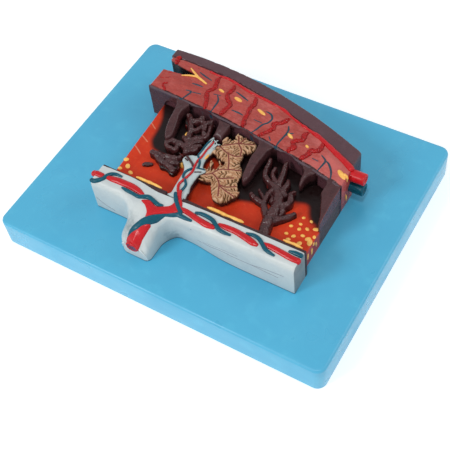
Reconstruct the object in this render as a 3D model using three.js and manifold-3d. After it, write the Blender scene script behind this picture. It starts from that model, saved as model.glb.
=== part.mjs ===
// Placenta model for teaching: a cut section of placenta and uterine wall, in relief on a board.
// Millimetres, +Z up. The origin is the middle of the board's underside, +X runs along the
// board's long side and +Y runs towards the uterine wall. Nothing on the model moves.

import * as THREE from 'three';
import { mergeVertices } from 'three/addons/utils/BufferGeometryUtils.js';
import Module from 'manifold-3d';

const wasm = await Module();
wasm.setup();

// Board
const boardLength = 300;
const boardWidth = 235;
const boardThickness = 27;
const boardCornerRadius = 8;
const boardEdgeRadius = 2.5;

// Heights above the board's top
const wallHeight = 34;
const floorHeight = 18;
const plateHeight = 33.5;
const cordEndHeight = 19.5;

// Heights above the floor
const stemRootRelief = 14;
const stemTipRelief = 8;
const cutVillusRelief = 9.5;
const treeRelief = 8.5;
const clumpRelief = 6.5;
const fragmentRelief = 2;

// Uterine wall: three bows across the board, each given at its left, middle and right
const wallLeftX = -98;
const cutFaceX = 97.5;
const wallFront = { left: 44, middle: 35.8, right: 17.5 };
const muscleThickness = { left: 38, middle: 37.7, right: 21 };
const outerLayerThickness = { left: 9, middle: 11, right: 14.5 };
const outerLayerOverhang = 2;
const outerCornerRadius = 5;
const basalThickness = 2.2;
const outerCornerTurn = 70;
const notchDepth = 32;
const notchMouth = 11.5;
const notchMiddle = 71.3;
// The notch's edges from its mouth over its middle to its tip, as shares of half its mouth
const notchFrontEdge = [1, 0.8, 0.25];
const notchBackEdge = [1, 0.4, -0.1];

// Floor of the blood space
const floorLeftBackX = -84;
const floorLeftFrontX = -80;

// Chorionic plate with the stump of the cord
const plateLeftX = -83.5;
const plateRightX = 101;
const plateBackY = -49;
const plateDepth = 17.5;
const plateShoulderRadius = 4;
const edgeBandThickness = 2.2;
const edgeBandDrop = 1;

// The cord droops from the plate to its cut end: the height lost grows as this power of the distance
const cordMiddleX = -28;
const cordWidth = 28;
const cordLength = 27.5;
const cordFallPower = 1.3;
const cordFlareLeft = 14;
const cordFlareRight = 11;
const cordEndLeftRadius = 8;
const cordEndRightRadius = 4;
const cordBackRadius = 12.5;
const cordRootRadius = 4.5;
const cordRootLength = 14;
const cordEndRim = 2;

// Relief of vessels, glands and deposits
const plateArteryRadius = 2.6;
const plateVeinRadius = 2.1;
const stemArteryRadius = 1.1;
const stemVeinRadius = 0.9;
const spiralHalfWidth = 1.7;
const spiralRelief = 1.3;
const marginalHalfWidth = 2;
const marginalRelief = 1.8;
const glandRelief = 1.2;
const forkHalfWidth = 1;
const depositRadius = 1.2;
const arteryStubDiameter = 10;
const arteryStubLength = 12.5;
const veinStubDiameter = 11;
const veinStubLength = 12;
const stubInset = 3.2;
const arteryStubDrop = 6;
const veinStubDrop = 19;

// Gap that neighbouring pieces keep
const fitGap = 0.3;

const colours = {
  board: 0x57b2d2, muscle: 0xb5564c, outer: 0x5a3f46, basal: 0x4a3038, floor: 0xc43a22,
  plate: 0xb9c9ce, band: 0x4a3634, artery: 0xb8201f, vein: 0x1b5a6b, stem: 0xc3d0d2,
  tan: 0xc69a76, villus: 0x4d3839, spiral: 0x9c1414, yellow: 0xf2c45c,
};

// Wall curves

// Parabola through the three values given at x = -reach, 0 and +reach
const curveReach = 98;
function bow(x, { left, middle, right }) {
  const tilt = (right - left) / (2 * curveReach);
  const bend = (left + right - 2 * middle) / (2 * curveReach ** 2);
  return middle + tilt * x + bend * x * x;
}

const frontY = (x) => bow(x, wallFront);
const muscleBackY = (x) => frontY(x) + bow(x, muscleThickness);
const outerY = (x) => muscleBackY(x) + bow(x, outerLayerThickness);
const basalFrontY = (x) => frontY(x) - basalThickness;

// Point on the cut top of the muscle: share 0 is its front edge, 1 its back edge
const onMuscle = ([x, share]) => [x, frontY(x) + share * bow(x, muscleThickness)];

function stations(from, to, count) {
  return Array.from({ length: count + 1 }, (_, i) => from + ((to - from) * i) / count);
}

const along = (curve, from, to, count) => stations(from, to, count).map((x) => [x, curve(x)]);

// Solids

function toSolid(geometry) {
  const bare = geometry.index ? geometry.clone() : geometry;
  bare.deleteAttribute('normal');
  bare.deleteAttribute('uv');
  const merged = mergeVertices(bare, 1e-4);
  const mesh = new wasm.Mesh({
    numProp: 3,
    vertProperties: new Float32Array(merged.attributes.position.array),
    triVerts: new Uint32Array(merged.index.array),
  });
  mesh.merge();
  return new wasm.Manifold(mesh);
}

function toGeometry(solid) {
  const { vertProperties, triVerts } = solid.getMesh();
  const geometry = new THREE.BufferGeometry();
  geometry.setAttribute('position', new THREE.BufferAttribute(vertProperties, 3));
  geometry.setIndex(new THREE.BufferAttribute(triVerts, 1));
  return geometry;
}

const join = (geometries) => toGeometry(geometries.map(toSolid).reduce((sum, next) => sum.add(next)));
const cut = (geometry, tool) => toGeometry(toSolid(geometry).subtract(toSolid(tool)));

function outline(points) {
  return new THREE.Shape(points.map(([x, y]) => new THREE.Vector2(x, y)));
}

// Round closed line through a few points
function smooth(points, steps) {
  const line = new THREE.CatmullRomCurve3(points.map(([x, y]) => new THREE.Vector3(x, y, 0)), true);
  return line.getSpacedPoints(steps).slice(0, -1).map((p) => [p.x, p.y]);
}

function prism(points, bottom, top) {
  const depth = top - bottom;
  const geometry = new THREE.ExtrudeGeometry(outline(points), { depth, bevelEnabled: false });
  return geometry.translate(0, 0, bottom);
}

// Prism whose top follows a height given for each point of the plan
function slopedPrism(points, bottom, topAt) {
  const geometry = prism(points, bottom, bottom + 1);
  const place = geometry.attributes.position;
  for (let i = 0; i < place.count; i += 1) {
    if (place.getZ(i) > bottom + 0.5) place.setZ(i, topAt(place.getX(i), place.getY(i)));
  }
  return geometry;
}

function sweep(section, points, steps) {
  const path = new THREE.CatmullRomCurve3(points.map(([x, y, z]) => new THREE.Vector3(x, y, z)));
  return new THREE.ExtrudeGeometry(section, { steps, extrudePath: path, bevelEnabled: false });
}

// Ridge with a flat underside, half an ellipse across, along a level line
function ridge(points, height, halfWidth, relief, steps) {
  const sides = 6;
  const section = outline(stations(0, Math.PI, sides).map((angle) => [
    -relief * Math.sin(angle), halfWidth * Math.cos(angle)]));
  return sweep(section, points.map(([x, y]) => [x, y, height]), steps);
}

function tube(points, radius, steps, sides = 8) {
  const turn = (2 * Math.PI) / sides;
  const section = outline(Array.from({ length: sides }, (_, i) => [
    radius * Math.cos(i * turn), radius * Math.sin(i * turn)]));
  return sweep(section, points, steps);
}

// Low dome with a flat underside, an ellipse in plan
function dome(length, width, relief) {
  const profile = stations(0, Math.PI / 2, 3).map((angle) => (
    new THREE.Vector2(Math.max(Math.cos(angle), 0), Math.sin(angle))));
  profile[profile.length - 1].set(0, 1);
  const geometry = new THREE.LatheGeometry([new THREE.Vector2(0, 0), ...profile], 12);
  return geometry.rotateX(Math.PI / 2).scale(length / 2, width / 2, relief);
}

function block(fromX, toX, fromY, toY, bottom, top) {
  const geometry = new THREE.BoxGeometry(toX - fromX, toY - fromY, top - bottom);
  return geometry.translate((fromX + toX) / 2, (fromY + toY) / 2, (bottom + top) / 2);
}

// Board

function baseBoard() {
  const inset = boardEdgeRadius;
  const halfX = boardLength / 2 - inset;
  const halfY = boardWidth / 2 - inset;
  const r = Math.max(boardCornerRadius - inset, 0.5);
  const shape = new THREE.Shape();
  shape.moveTo(-halfX + r, -halfY);
  shape.absarc(halfX - r, -halfY + r, r, -Math.PI / 2, 0);
  shape.absarc(halfX - r, halfY - r, r, 0, Math.PI / 2);
  shape.absarc(-halfX + r, halfY - r, r, Math.PI / 2, Math.PI);
  shape.absarc(-halfX + r, -halfY + r, r, Math.PI, 1.5 * Math.PI);
  const plank = new THREE.ExtrudeGeometry(shape, {
    depth: boardThickness - inset,
    bevelThickness: inset,
    bevelSize: inset,
    bevelSegments: 3,
    curveSegments: 6,
  });
  const below = block(-boardLength, boardLength, -boardWidth, boardWidth, -2 * inset, 0);
  return cut(plank, below);
}

// Uterine wall

function muscle() {
  const right = cutFaceX;
  const points = [
    ...along(frontY, wallLeftX, right, 12),
    ...along((x) => muscleBackY(x) - fitGap, right, wallLeftX, 12),
  ];
  const body = prism(points, 0, wallHeight);
  const tip = wallLeftX + notchDepth;
  const half = notchMouth / 2;
  const places = [wallLeftX - half, wallLeftX + notchDepth / 2, tip];
  const edge = (shares, side) => places.map((x, i) => [x, notchMiddle + side * half * shares[i]]);
  const wedge = prism(
    [...edge(notchFrontEdge, -1), ...edge(notchBackEdge, 1).reverse()],
    -fitGap,
    wallHeight + fitGap,
  );
  return cut(body, wedge);
}

function outerLayer() {
  const left = wallLeftX - outerLayerOverhang;
  const r = outerCornerRadius;
  const end = outerY(cutFaceX - r) - r;
  const corner = stations(THREE.MathUtils.degToRad(outerCornerTurn), 0, 4).map((angle) => [
    cutFaceX - r + r * Math.cos(angle), end + r * Math.sin(angle)]);
  const points = [
    ...along(muscleBackY, left, cutFaceX, 12),
    ...corner.reverse(),
    ...along(outerY, cutFaceX - r, left, 12),
  ];
  return prism(points, 0, wallHeight);
}

function basalPlate() {
  const points = [
    ...along(basalFrontY, wallLeftX, cutFaceX, 12),
    ...along((x) => frontY(x) - fitGap, cutFaceX, wallLeftX, 12),
  ];
  return prism(points, 0, wallHeight);
}

// Septum from the basal plate over the floor: its two sides run from the wall to the tip
function septum({ rootLeft, rootRight, leftSide, rightSide, tipRelief }) {
  const root = (x) => basalFrontY(x) - fitGap;
  const points = [
    [rootLeft, root(rootLeft)], ...leftSide, ...rightSide, [rootRight, root(rootRight)],
  ];
  const tipY = Math.min(...[...leftSide, ...rightSide].map(([, y]) => y));
  const fall = (wallHeight - floorHeight - tipRelief) / (root(rootLeft) - tipY) ** 2;
  const topAt = (x, y) => wallHeight - fall * (root(x) - y) ** 2;
  return slopedPrism(points, floorHeight, topAt);
}

const septa = [
  {
    rootLeft: -67.5, rootRight: -53.5, tipRelief: 9,
    leftSide: [[-64.3, 32.5], [-63, 23], [-62, 15], [-60.5, 8.5], [-58, 5]],
    rightSide: [[-55, 4.5], [-52.8, 8], [-53.8, 15], [-55.6, 22], [-57.3, 31]],
  },
  {
    rootLeft: -23.5, rootRight: -12.5, tipRelief: 9.5,
    leftSide: [[-22.5, 30], [-23, 23.5]],
    rightSide: [[-14, 22], [-13, 30]],
  },
  {
    rootLeft: 17.5, rootRight: 35, tipRelief: 9,
    leftSide: [[19.5, 24], [19, 13], [20.4, 3], [21.8, -5], [24, -11]],
    rightSide: [[27, -10], [27.5, 0], [28, 14], [29.5, 24]],
  },
  {
    rootLeft: 59.5, rootRight: 74.5, tipRelief: 10,
    leftSide: [[64, 19.5], [64, 14], [65.2, 9]],
    rightSide: [[67.4, 8.5], [68, 13], [69.7, 17.6]],
  },
  {
    rootLeft: cutFaceX - 12, rootRight: cutFaceX, tipRelief: 9,
    leftSide: [[cutFaceX - 12, 12], [cutFaceX - 12, 6], [cutFaceX - 9, 1], [cutFaceX - 6.5, -6]],
    rightSide: [[cutFaceX - 1.5, -19], [cutFaceX, -19]],
  },
];

// Floor of the blood space, between the plate's edge band and the basal plate

const bandBackY = plateBackY + edgeBandThickness;

function floorBlock() {
  const frontEdge = bandBackY + fitGap;
  const points = [
    [floorLeftFrontX, frontEdge], [cutFaceX, frontEdge],
    ...along((x) => basalFrontY(x) - fitGap, cutFaceX, floorLeftBackX, 12),
  ];
  return prism(points, 0, floorHeight);
}

// Chorionic plate and cord

const plateFrontY = plateBackY - plateDepth;
const cordEndY = plateFrontY - cordLength;
const cordLeftX = cordMiddleX - cordWidth / 2;
const cordRightX = cordMiddleX + cordWidth / 2;

function plateSlab() {
  const r = plateShoulderRadius;
  const shoulder = stations(Math.PI, Math.PI / 2, 4).map((angle) => [
    plateFrontY + r + r * Math.cos(angle), plateHeight - r + r * Math.sin(angle)]);
  const side = [[plateBackY, 0], [plateFrontY, 0], ...shoulder, [plateBackY, plateHeight]].reverse();
  const slab = new THREE.ExtrudeGeometry(outline(side), {
    depth: plateRightX - plateLeftX, bevelEnabled: false,
  });
  // The side view was drawn in X and Y: X becomes Y, Y becomes Z and the length becomes X
  return slab.rotateX(Math.PI / 2).rotateZ(Math.PI / 2).translate(plateLeftX, 0, 0);
}

// How far a quarter round of this radius has dropped at a distance in from its edge
function roll(radius, distance) {
  const share = THREE.MathUtils.clamp(distance / radius, 0, 1);
  return radius * (1 - Math.sqrt(1 - (1 - share) ** 2));
}

// The cord at a distance out from the plate's front: its sides flare into the plate and turn in at the end
function cordAt(out) {
  const { clamp, lerp, smoothstep } = THREE.MathUtils;
  const share = clamp(out / cordLength, 0, 1);
  return {
    left: cordLeftX - roll(cordFlareLeft, out) + roll(cordEndLeftRadius, cordLength - out),
    right: cordRightX + roll(cordFlareRight, out) - roll(cordEndRightRadius, cordLength - out),
    crest: plateHeight - 0.1 - (plateHeight - cordEndHeight) * share ** cordFallPower
      - roll(cordEndRim, cordLength - out),
    radius: lerp(cordRootRadius, cordBackRadius, smoothstep(out, 0, cordRootLength)),
  };
}

function cordTopAt(x, out) {
  const { left, right, crest, radius } = cordAt(out);
  return crest - roll(radius, Math.max(Math.min(x - left, right - x), 0));
}

// Cord stump: sections from inside the plate to the cut end, each from its left foot over its round back
function cordStump() {
  const turns = stations(0, Math.PI / 2, 5);
  const inside = -plateShoulderRadius - 2;
  const roundEnd = cordLength - cordEndLeftRadius;
  const outs = [
    inside, ...stations(0, roundEnd, 9), ...stations(roundEnd, cordLength - cordEndRim, 4).slice(1),
    cordLength - cordEndRim / 2, cordLength - cordEndRim / 8, cordLength,
  ];
  const rings = outs.map((out) => {
    const { left, right, crest, radius } = cordAt(out);
    const foot = crest - radius;
    const leftBack = turns.map((a) => [left + radius * (1 - Math.cos(a)), foot + radius * Math.sin(a)]);
    const rightBack = turns.map((a) => [right - radius * (1 - Math.cos(a)), foot + radius * Math.sin(a)]);
    const ring = [[left, 0], ...leftBack, ...rightBack.reverse(), [right, 0]];
    return ring.map(([x, z]) => [x, plateFrontY - out, z]);
  });
  const size = rings[0].length;
  const index = [];
  for (let i = 0; i + 1 < rings.length; i += 1) {
    for (let j = 0; j < size; j += 1) {
      const a = i * size + j;
      const b = i * size + ((j + 1) % size);
      index.push(a, a + size, b, b, a + size, b + size);
    }
  }
  const last = (rings.length - 1) * size;
  for (let j = 1; j + 1 < size; j += 1) {
    index.push(0, j, j + 1, last, last + j + 1, last + j);
  }
  const geometry = new THREE.BufferGeometry();
  geometry.setAttribute('position', new THREE.Float32BufferAttribute(rings.flat(2), 3));
  geometry.setIndex(index);
  return geometry;
}

const chorionicPlate = join([plateSlab(), cordStump()]);
const plateTool = toSolid(chorionicPlate).translate([0, 0, fitGap]);

function edgeBand(fromX, toX) {
  return block(fromX, toX, plateBackY + fitGap, bandBackY, 0, plateHeight - edgeBandDrop);
}

// Height of the plate's top, or of the cord's round back past the plate's front
function plateTopAt([x, y]) {
  const out = plateFrontY - y;
  return out > -plateShoulderRadius ? cordTopAt(x, out) : plateHeight;
}

// Vessel half sunk into the plate: only its relief stands above
function plateVessel(points, radius, steps, sink = 0) {
  const path = points.map((p) => [...p, plateTopAt(p) - sink]);
  return toGeometry(toSolid(tube(path, radius, steps)).subtract(plateTool));
}

// Villi on the floor

const stemLeftX = -21.5;
const stemRightX = -7.5;
const stemTipY = 21.5;

function stemTopAt(x, y) {
  const share = (y - plateBackY) / (stemTipY - plateBackY);
  return floorHeight + stemRootRelief + share * (stemTipRelief - stemRootRelief);
}

function stemVillus() {
  const points = [
    [stemLeftX, plateBackY + fitGap], [stemRightX, plateBackY + fitGap], [-9, -40], [-10, -30],
    [-10.5, -20], [-10.5, -12], [-12.5, -8], [-13.2, -3], [-14, 4], [-15, 10], [-15, 13], [-16, 17.5],
    [-18, 20], [-21, stemTipY], [-23, 18], [-23.5, 12], [-22.8, 3], [-24, -2.5], [-27.5, -2],
    [-32.5, -7], [-31.5, -11], [-27.5, -13], [-24.5, -18.5], [-23.5, -24], [-20.5, -31],
  ];
  return slopedPrism(points, floorHeight, stemTopAt);
}

const stem = stemVillus();
const stemTool = toSolid(stem).translate([0, 0, fitGap]);

// Vessel half sunk into the stem
function stemVessel(points, radius) {
  const path = points.map(([x, y]) => [x, y, stemTopAt(x, y)]);
  return toGeometry(toSolid(tube(path, radius, 3 * (points.length - 1), 6)).subtract(stemTool));
}

// Lobed piece on the floor: its outline and its holes are round lines through a few points
function lobed(rim, holes, relief) {
  const body = prism(smooth(rim, 2 * rim.length), floorHeight, floorHeight + relief);
  return holes.reduce((solid, hole) => (
    cut(solid, prism(smooth(hole, 2 * hole.length), floorHeight - 1, floorHeight + relief + 1))), body);
}

const cutVillusRim = [
  [-14, 14], [-11, 18], [-11.5, 21.5], [-10, 26], [-5, 23.5], [-6.5, 30.5], [-2.5, 32.8], [3.5, 32.3],
  [7, 31], [14.5, 29], [17, 24], [14.5, 20.5], [11.5, 19], [13.5, 10], [13.5, 5.5], [18, 1],
  [20.5, -11], [25, -16], [27, -23], [23, -31], [17, -34.5], [11, -32], [6, -27.5], [3.5, -21.5],
  [-2, -21.5], [-7, -21.5], [-9.5, -18], [-9.5, -12], [-7, -8.5], [-1, -6.5], [1.5, -3],
  [-1.5, 2.5], [-7, 4], [-11, 7.5], [-14, 10],
];
const treeRim = [
  [-57.5, 1.5], [-52, 5.5], [-45, 7], [-42, 11], [-45, 19], [-47.5, 24], [-54, 28], [-54, 33], [-50.5, 34.5],
  [-46.5, 32], [-42.5, 33.5], [-39, 36.5], [-34, 36.5], [-29, 35], [-28.5, 25.5], [-24.8, 24],
  [-27, 16.5], [-25.5, 8], [-26.5, 3], [-29.5, 0], [-33, -3], [-38, -3.5], [-43, -2.5], [-47, -5],
  [-52, -3.5],
];
const treeHoles = [
  [[-41, 23], [-38, 26.5], [-34, 29.5], [-33, 24.5]],
  [[-37, 11.5], [-39.5, 16], [-38, 20.5], [-34.5, 20.5], [-36.5, 16]],
];
const clumpRim = [
  [-62.5, -12], [-57, -9.5], [-49, -9], [-42, -4.5], [-35.5, -6], [-33.5, -12], [-31.5, -18], [-33, -24],
  [-40, -22], [-47, -21.5], [-52.5, -17], [-57, -14.5],
];
const fragmentRim = [[-60, -25.5], [-58.5, -22.5], [-54, -21.5], [-54, -24], [-57.5, -26]];

// Anchoring villus: a trunk from the plate that branches up towards the wall, with heights
// above the floor
const trunkRootY = bandBackY + fitGap + 0.1;
const anchoringRoutes = [
  { radius: 4.9, route: [[61.4, trunkRootY, 3], [61.2, -40, 3], [59, -32, 3.4], [58, -26, 3.8]] },
  { radius: 4.2, route: [[58, -28, 3.8], [58.5, -20, 4.2], [57, -10, 4.8], [53, -3, 5]] },
  { radius: 3, route: [[57.5, -9, 4.8], [53, -3, 5], [48, 1, 5.2]] },
  { radius: 2.4, route: [[57, -27, 3], [48.5, -18.5, 3.3], [40.5, -17, 3], [34, -13, 2.6]] },
  { radius: 2.2, route: [[48.5, -18, 3.3], [47.2, -10, 3.8], [48.8, -1, 5]] },
  { radius: 2.2, route: [[49, 1, 5.2], [39, 4.6, 6], [34, 12, 7.4], [33, 20, 9]] },
  { radius: 1.9, route: [[48.5, 3.5, 5.4], [41, 10, 6.6], [40.8, 15, 7]] },
  { radius: 2.4, route: [[50.5, 1, 5.2], [48, 14, 7.4], [46.8, 22, 9]] },
  { radius: 2.6, route: [[57.4, -10, 4.8], [56, 0, 5.2], [55.2, 10, 6]] },
  { radius: 2.6, route: [[58.8, -14, 4.6], [65, -9, 4.8], [64, -2, 5], [63, 3, 5]] },
  { radius: 2.4, route: [[59.5, -29, 3], [68.4, -23.6, 3.2], [73.6, -17.4, 3]] },
];

function anchoringVillus() {
  const limbs = join(anchoringRoutes.map(({ radius, route }) => (
    tube(route.map(([x, y, up]) => [x, y, floorHeight + up]), radius, 3 * (route.length - 1)))));
  const wide = boardLength;
  return cut(limbs, block(-wide, wide, -wide, wide, 0, floorHeight));
}

// Parts list

const section = new THREE.Group();
section.position.z = boardThickness;

function piece(name, geometry, colour, roughness = 0.35, parent = section) {
  const material = new THREE.MeshStandardMaterial({ color: colour, roughness, metalness: 0 });
  const mesh = new THREE.Mesh(geometry, material);
  mesh.name = name;
  parent.add(mesh);
}

const group = new THREE.Group();
group.add(section);

piece('base_board', baseBoard(), colours.board, 0.5, group);

piece('uterine_muscle_wall', muscle(), colours.muscle);
piece('uterine_outer_layer', outerLayer(), colours.outer);
piece('basal_plate', basalPlate(), colours.basal);
septa.forEach((shape, i) => piece(`placental_septum_${i + 1}`, septum(shape), colours.basal));
piece('blood_space_floor', floorBlock(), colours.floor);

piece('chorionic_plate', chorionicPlate, colours.plate);
piece('plate_edge_band_left', edgeBand(plateLeftX, stemLeftX - fitGap), colours.band);
piece('plate_edge_band_right', edgeBand(stemRightX + fitGap, plateRightX), colours.band);

// Vessels on the plate, from left to right: where one crosses another, the lower one stops
const plateArteries = [
  { name: 'plate_artery_left_end', route: [[plateLeftX - 1.5, -57.5], [-79, -57.5]] },
  {
    name: 'plate_artery_left',
    route: [[-67.5, -57.2], [-60, -55.6], [-50, -55.6], [-41, -56.3], [-36.5, -57]],
  },
  { name: 'plate_artery_middle', route: [[-11.5, -57], [-17, -61.5], [-22, -65.5], [-25, -70]], radius: 3 },
  { name: 'plate_artery_right_1', route: [[4.5, -57.5], [15, -59.5], [26, -61]] },
  { name: 'plate_artery_right_2', route: [[35, -55], [46, -55.5], [56, -57.5], [66, -60]] },
  { name: 'plate_artery_right_3', route: [[75, -55.5], [86, -57], [plateRightX - fitGap, -58]] },
  {
    name: 'cord_artery',
    route: [[-21, -83.5], [-23, -87.5], [-25.4, cordEndY + 1.5]], radius: 3.6, sink: 1.9,
  },
];
const plateVeins = [
  {
    name: 'plate_vein_left_1',
    route: [[plateLeftX + 0.3, -63], [-80, -63.4], [-76, -61.5], [-74, -57], [-71.6, -53.4], [-67, -52]],
  },
  {
    name: 'plate_vein_left_2',
    route: [[-54, -61.8], [-45, -62.2], [-38, -62.2], [-32, -61.6], [-28, -61.3]],
  },
  {
    name: 'plate_vein_middle',
    route: [
      [-12, -50.5], [-8.5, -55], [-4.5, -60], [-4.5, -63.5], [-10, -67.6], [-16, -71.4], [-22, -76],
      [-27, -82.2], [-30.6, -87.4],
    ],
    radius: 2.4,
  },
  {
    name: 'plate_vein_right_1',
    route: [[11.5, -53.6], [19, -52.6], [26, -54.5], [31, -58.5], [38, -61], [44, -61.5]],
  },
  {
    name: 'plate_vein_right_2',
    route: [[56.5, -52.2], [61, -51.8], [67, -54], [71.5, -58.5], [77, -61.5], [82, -62]],
  },
  { name: 'plate_vein_right_3', route: [[91, -53], [95, -52.5], [plateRightX - fitGap, -52.8]] },
];
function plateVessels(vessels, usualRadius, colour) {
  vessels.forEach(({ name, route, radius = usualRadius, sink }) => {
    piece(name, plateVessel(route, radius, 4 * (route.length - 1), sink), colour);
  });
}
plateVessels(plateArteries, plateArteryRadius, colours.artery);
plateVessels(plateVeins, plateVeinRadius, colours.vein);

piece('stem_villus', stem, colours.stem);
const stemArteryRoute = [
  [-14.5, -46], [-17.5, -37], [-16.5, -30], [-13.5, -24], [-13.8, -19], [-16.5, -13], [-18.8, -6],
  [-18.5, 2], [-18.5, 9], [-17.8, 16],
];
const stemVeins = [
  [[-15, -33.5], [-12.8, -35], [-13, -39], [-12.3, -42]],
  [[-18.5, -28], [-20.5, -23.5], [-20, -18], [-18.8, -14.5]],
  [[-16.2, -7.5], [-14.6, -10.5], [-13, -12.5]],
];
piece('stem_artery', stemVessel(stemArteryRoute, stemArteryRadius), colours.artery, 0.25);
stemVeins.forEach((route, i) => (
  piece(`stem_vein_${i + 1}`, stemVessel(route, stemVeinRadius), colours.vein, 0.25)));
piece('cut_villus', lobed(cutVillusRim, [], cutVillusRelief), colours.tan, 0.6);
piece('left_villus_tree', lobed(treeRim, treeHoles, treeRelief), colours.villus);
piece('villus_clump', lobed(clumpRim, [], clumpRelief), colours.villus);
piece('villus_fragment', lobed(fragmentRim, [], fragmentRelief), colours.villus);
piece('anchoring_villus', anchoringVillus(), colours.villus);

const spiralArteries = [
  [[-40.5, 0.01], [-44, 0.23], [-49, 0.42], [-44.5, 0.61], [-47, 0.78], [-47, 0.87]],
  [[-25, 0.02], [-23.5, 0.24], [-23.5, 0.37], [-29, 0.48], [-31, 0.59], [-29.5, 0.77], [-31, 0.86]],
  [[-1, 0.02], [-4.5, 0.2], [-4.5, 0.41], [-7, 0.56], [-4.5, 0.72], [-8, 0.85]],
  [[15, 0.02], [19, 0.22], [22.5, 0.41], [20, 0.51], [26, 0.65], [29, 0.84]],
  [[45, 0.02], [44.5, 0.13], [47, 0.24], [43, 0.37], [50, 0.58], [48, 0.73], [50, 0.83]],
  [[56, 0.02], [58.5, 0.16], [60.5, 0.31], [60, 0.45], [66, 0.57], [66, 0.76], [65, 0.84]],
];
spiralArteries.forEach((route, i) => {
  const band = ridge(route.map(onMuscle), wallHeight, spiralHalfWidth, spiralRelief, 14);
  piece(`spiral_artery_${i + 1}`, band, colours.spiral, 0.25);
});

const marginalRoute = [
  [-55, 0.94], [-28, 0.96], [0, 0.97], [25, 0.97], [50, 0.96], [75, 0.95], [cutFaceX - 0.5, 0.86],
];
const marginal = ridge(marginalRoute.map(onMuscle), wallHeight, marginalHalfWidth, marginalRelief, 30);
piece('marginal_artery', marginal, colours.artery, 0.25);

const stubMiddleY = muscleBackY(cutFaceX) - stubInset;
function vesselStub(diameter, length, drop) {
  const stub = new THREE.CylinderGeometry(diameter / 2, diameter / 2, length, 16);
  return stub.rotateZ(Math.PI / 2).translate(cutFaceX + length / 2, stubMiddleY, wallHeight - drop);
}
const arteryStub = vesselStub(arteryStubDiameter, arteryStubLength, arteryStubDrop);
piece('uterine_artery_stub', arteryStub, colours.artery, 0.25);
const veinStub = vesselStub(veinStubDiameter, veinStubLength, veinStubDrop);
piece('uterine_vein_stub', veinStub, colours.vein, 0.25);

// Glands in the cut muscle: place, length, width and turn in degrees
const glands = [
  { at: [-38, 0.61], length: 6.5, width: 2.6, turn: -14 },
  { at: [-20, 0.6], length: 8.5, width: 3.6, turn: -12 },
  { at: [4.5, 0.61], length: 10, width: 3, turn: -20 },
  { at: [38, 0.47], length: 7, width: 3, turn: -28 },
  { at: [55.5, 0.49], length: 4, width: 2.4, turn: -28 },
  { at: [92.5, 0.42], length: 11, width: 4.4, turn: -36 },
];
glands.forEach(({ at, length, width, turn }, i) => {
  const [x, y] = onMuscle(at);
  const geometry = dome(length, width, glandRelief);
  geometry.rotateZ(THREE.MathUtils.degToRad(turn)).translate(x, y, wallHeight);
  piece(`muscle_gland_${i + 1}`, geometry, colours.yellow, 0.3);
});

// Forked gland at the notch's tip
const forkX = wallLeftX + notchDepth + forkHalfWidth + 0.3;
const forkArms = [
  [[forkX - 10, notchMiddle + 3.8], [forkX, notchMiddle - 1.3]],
  [[forkX - 12, notchMiddle - 7.2], [forkX, notchMiddle - 2.2]],
  [[forkX - 0.6, notchMiddle - 1.6], [forkX + 12, notchMiddle - 4.2]],
];
piece('forked_gland', join(forkArms.map((arm) => ridge(arm, wallHeight, forkHalfWidth, glandRelief, 2))),
  colours.yellow, 0.3);

// Fibrin deposits: round strips along the top of the edge band's back
const depositY = bandBackY + fitGap + depositRadius;
const depositHeight = plateHeight - edgeBandDrop;
const deposits = [[-52, -28], [15, 46], [82, cutFaceX - 1]];
deposits.forEach(([from, to], i) => {
  const strip = tube([[from, depositY, depositHeight], [to, depositY, depositHeight]], depositRadius, 4);
  piece(`fibrin_deposit_${i + 1}`, strip, colours.yellow, 0.3);
});

export default group;
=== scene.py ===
import math

import bmesh
import bpy
import numpy as np
from mathutils import Matrix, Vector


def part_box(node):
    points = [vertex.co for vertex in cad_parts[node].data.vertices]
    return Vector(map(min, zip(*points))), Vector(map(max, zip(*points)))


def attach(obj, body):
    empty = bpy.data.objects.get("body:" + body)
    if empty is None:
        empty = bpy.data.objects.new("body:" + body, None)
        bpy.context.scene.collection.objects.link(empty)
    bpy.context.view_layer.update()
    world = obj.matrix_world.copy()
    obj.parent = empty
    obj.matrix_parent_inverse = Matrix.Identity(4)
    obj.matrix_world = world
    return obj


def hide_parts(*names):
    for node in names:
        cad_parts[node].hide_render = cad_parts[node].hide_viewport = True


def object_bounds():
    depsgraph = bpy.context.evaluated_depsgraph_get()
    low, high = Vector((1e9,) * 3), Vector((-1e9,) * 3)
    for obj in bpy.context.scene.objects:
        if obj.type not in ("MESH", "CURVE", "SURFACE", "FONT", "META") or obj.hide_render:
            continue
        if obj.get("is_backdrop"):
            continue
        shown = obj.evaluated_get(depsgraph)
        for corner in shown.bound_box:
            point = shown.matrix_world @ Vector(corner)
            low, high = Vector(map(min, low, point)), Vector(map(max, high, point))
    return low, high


# Placenta section model on its blue board, dressed over the CAD frame.
# Shapes are worked out in millimetres above the board's top and written in metres.

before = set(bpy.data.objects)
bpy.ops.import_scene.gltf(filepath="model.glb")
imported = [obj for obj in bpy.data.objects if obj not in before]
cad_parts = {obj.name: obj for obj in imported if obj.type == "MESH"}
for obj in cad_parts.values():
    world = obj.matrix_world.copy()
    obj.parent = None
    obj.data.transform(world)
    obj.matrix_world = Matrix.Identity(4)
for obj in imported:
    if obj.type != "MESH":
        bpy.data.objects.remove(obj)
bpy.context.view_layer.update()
mm = 0.001
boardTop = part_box("base_board")[1].z
print("frame loaded:", len(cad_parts), "nodes")


def nodeBox(node):
    # lowest and highest corner of a CAD node, in millimetres from the board's top
    low, high = (np.array(corner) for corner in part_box(node))
    return (low - [0, 0, boardTop]) / mm, (high - [0, 0, boardTop]) / mm


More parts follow.
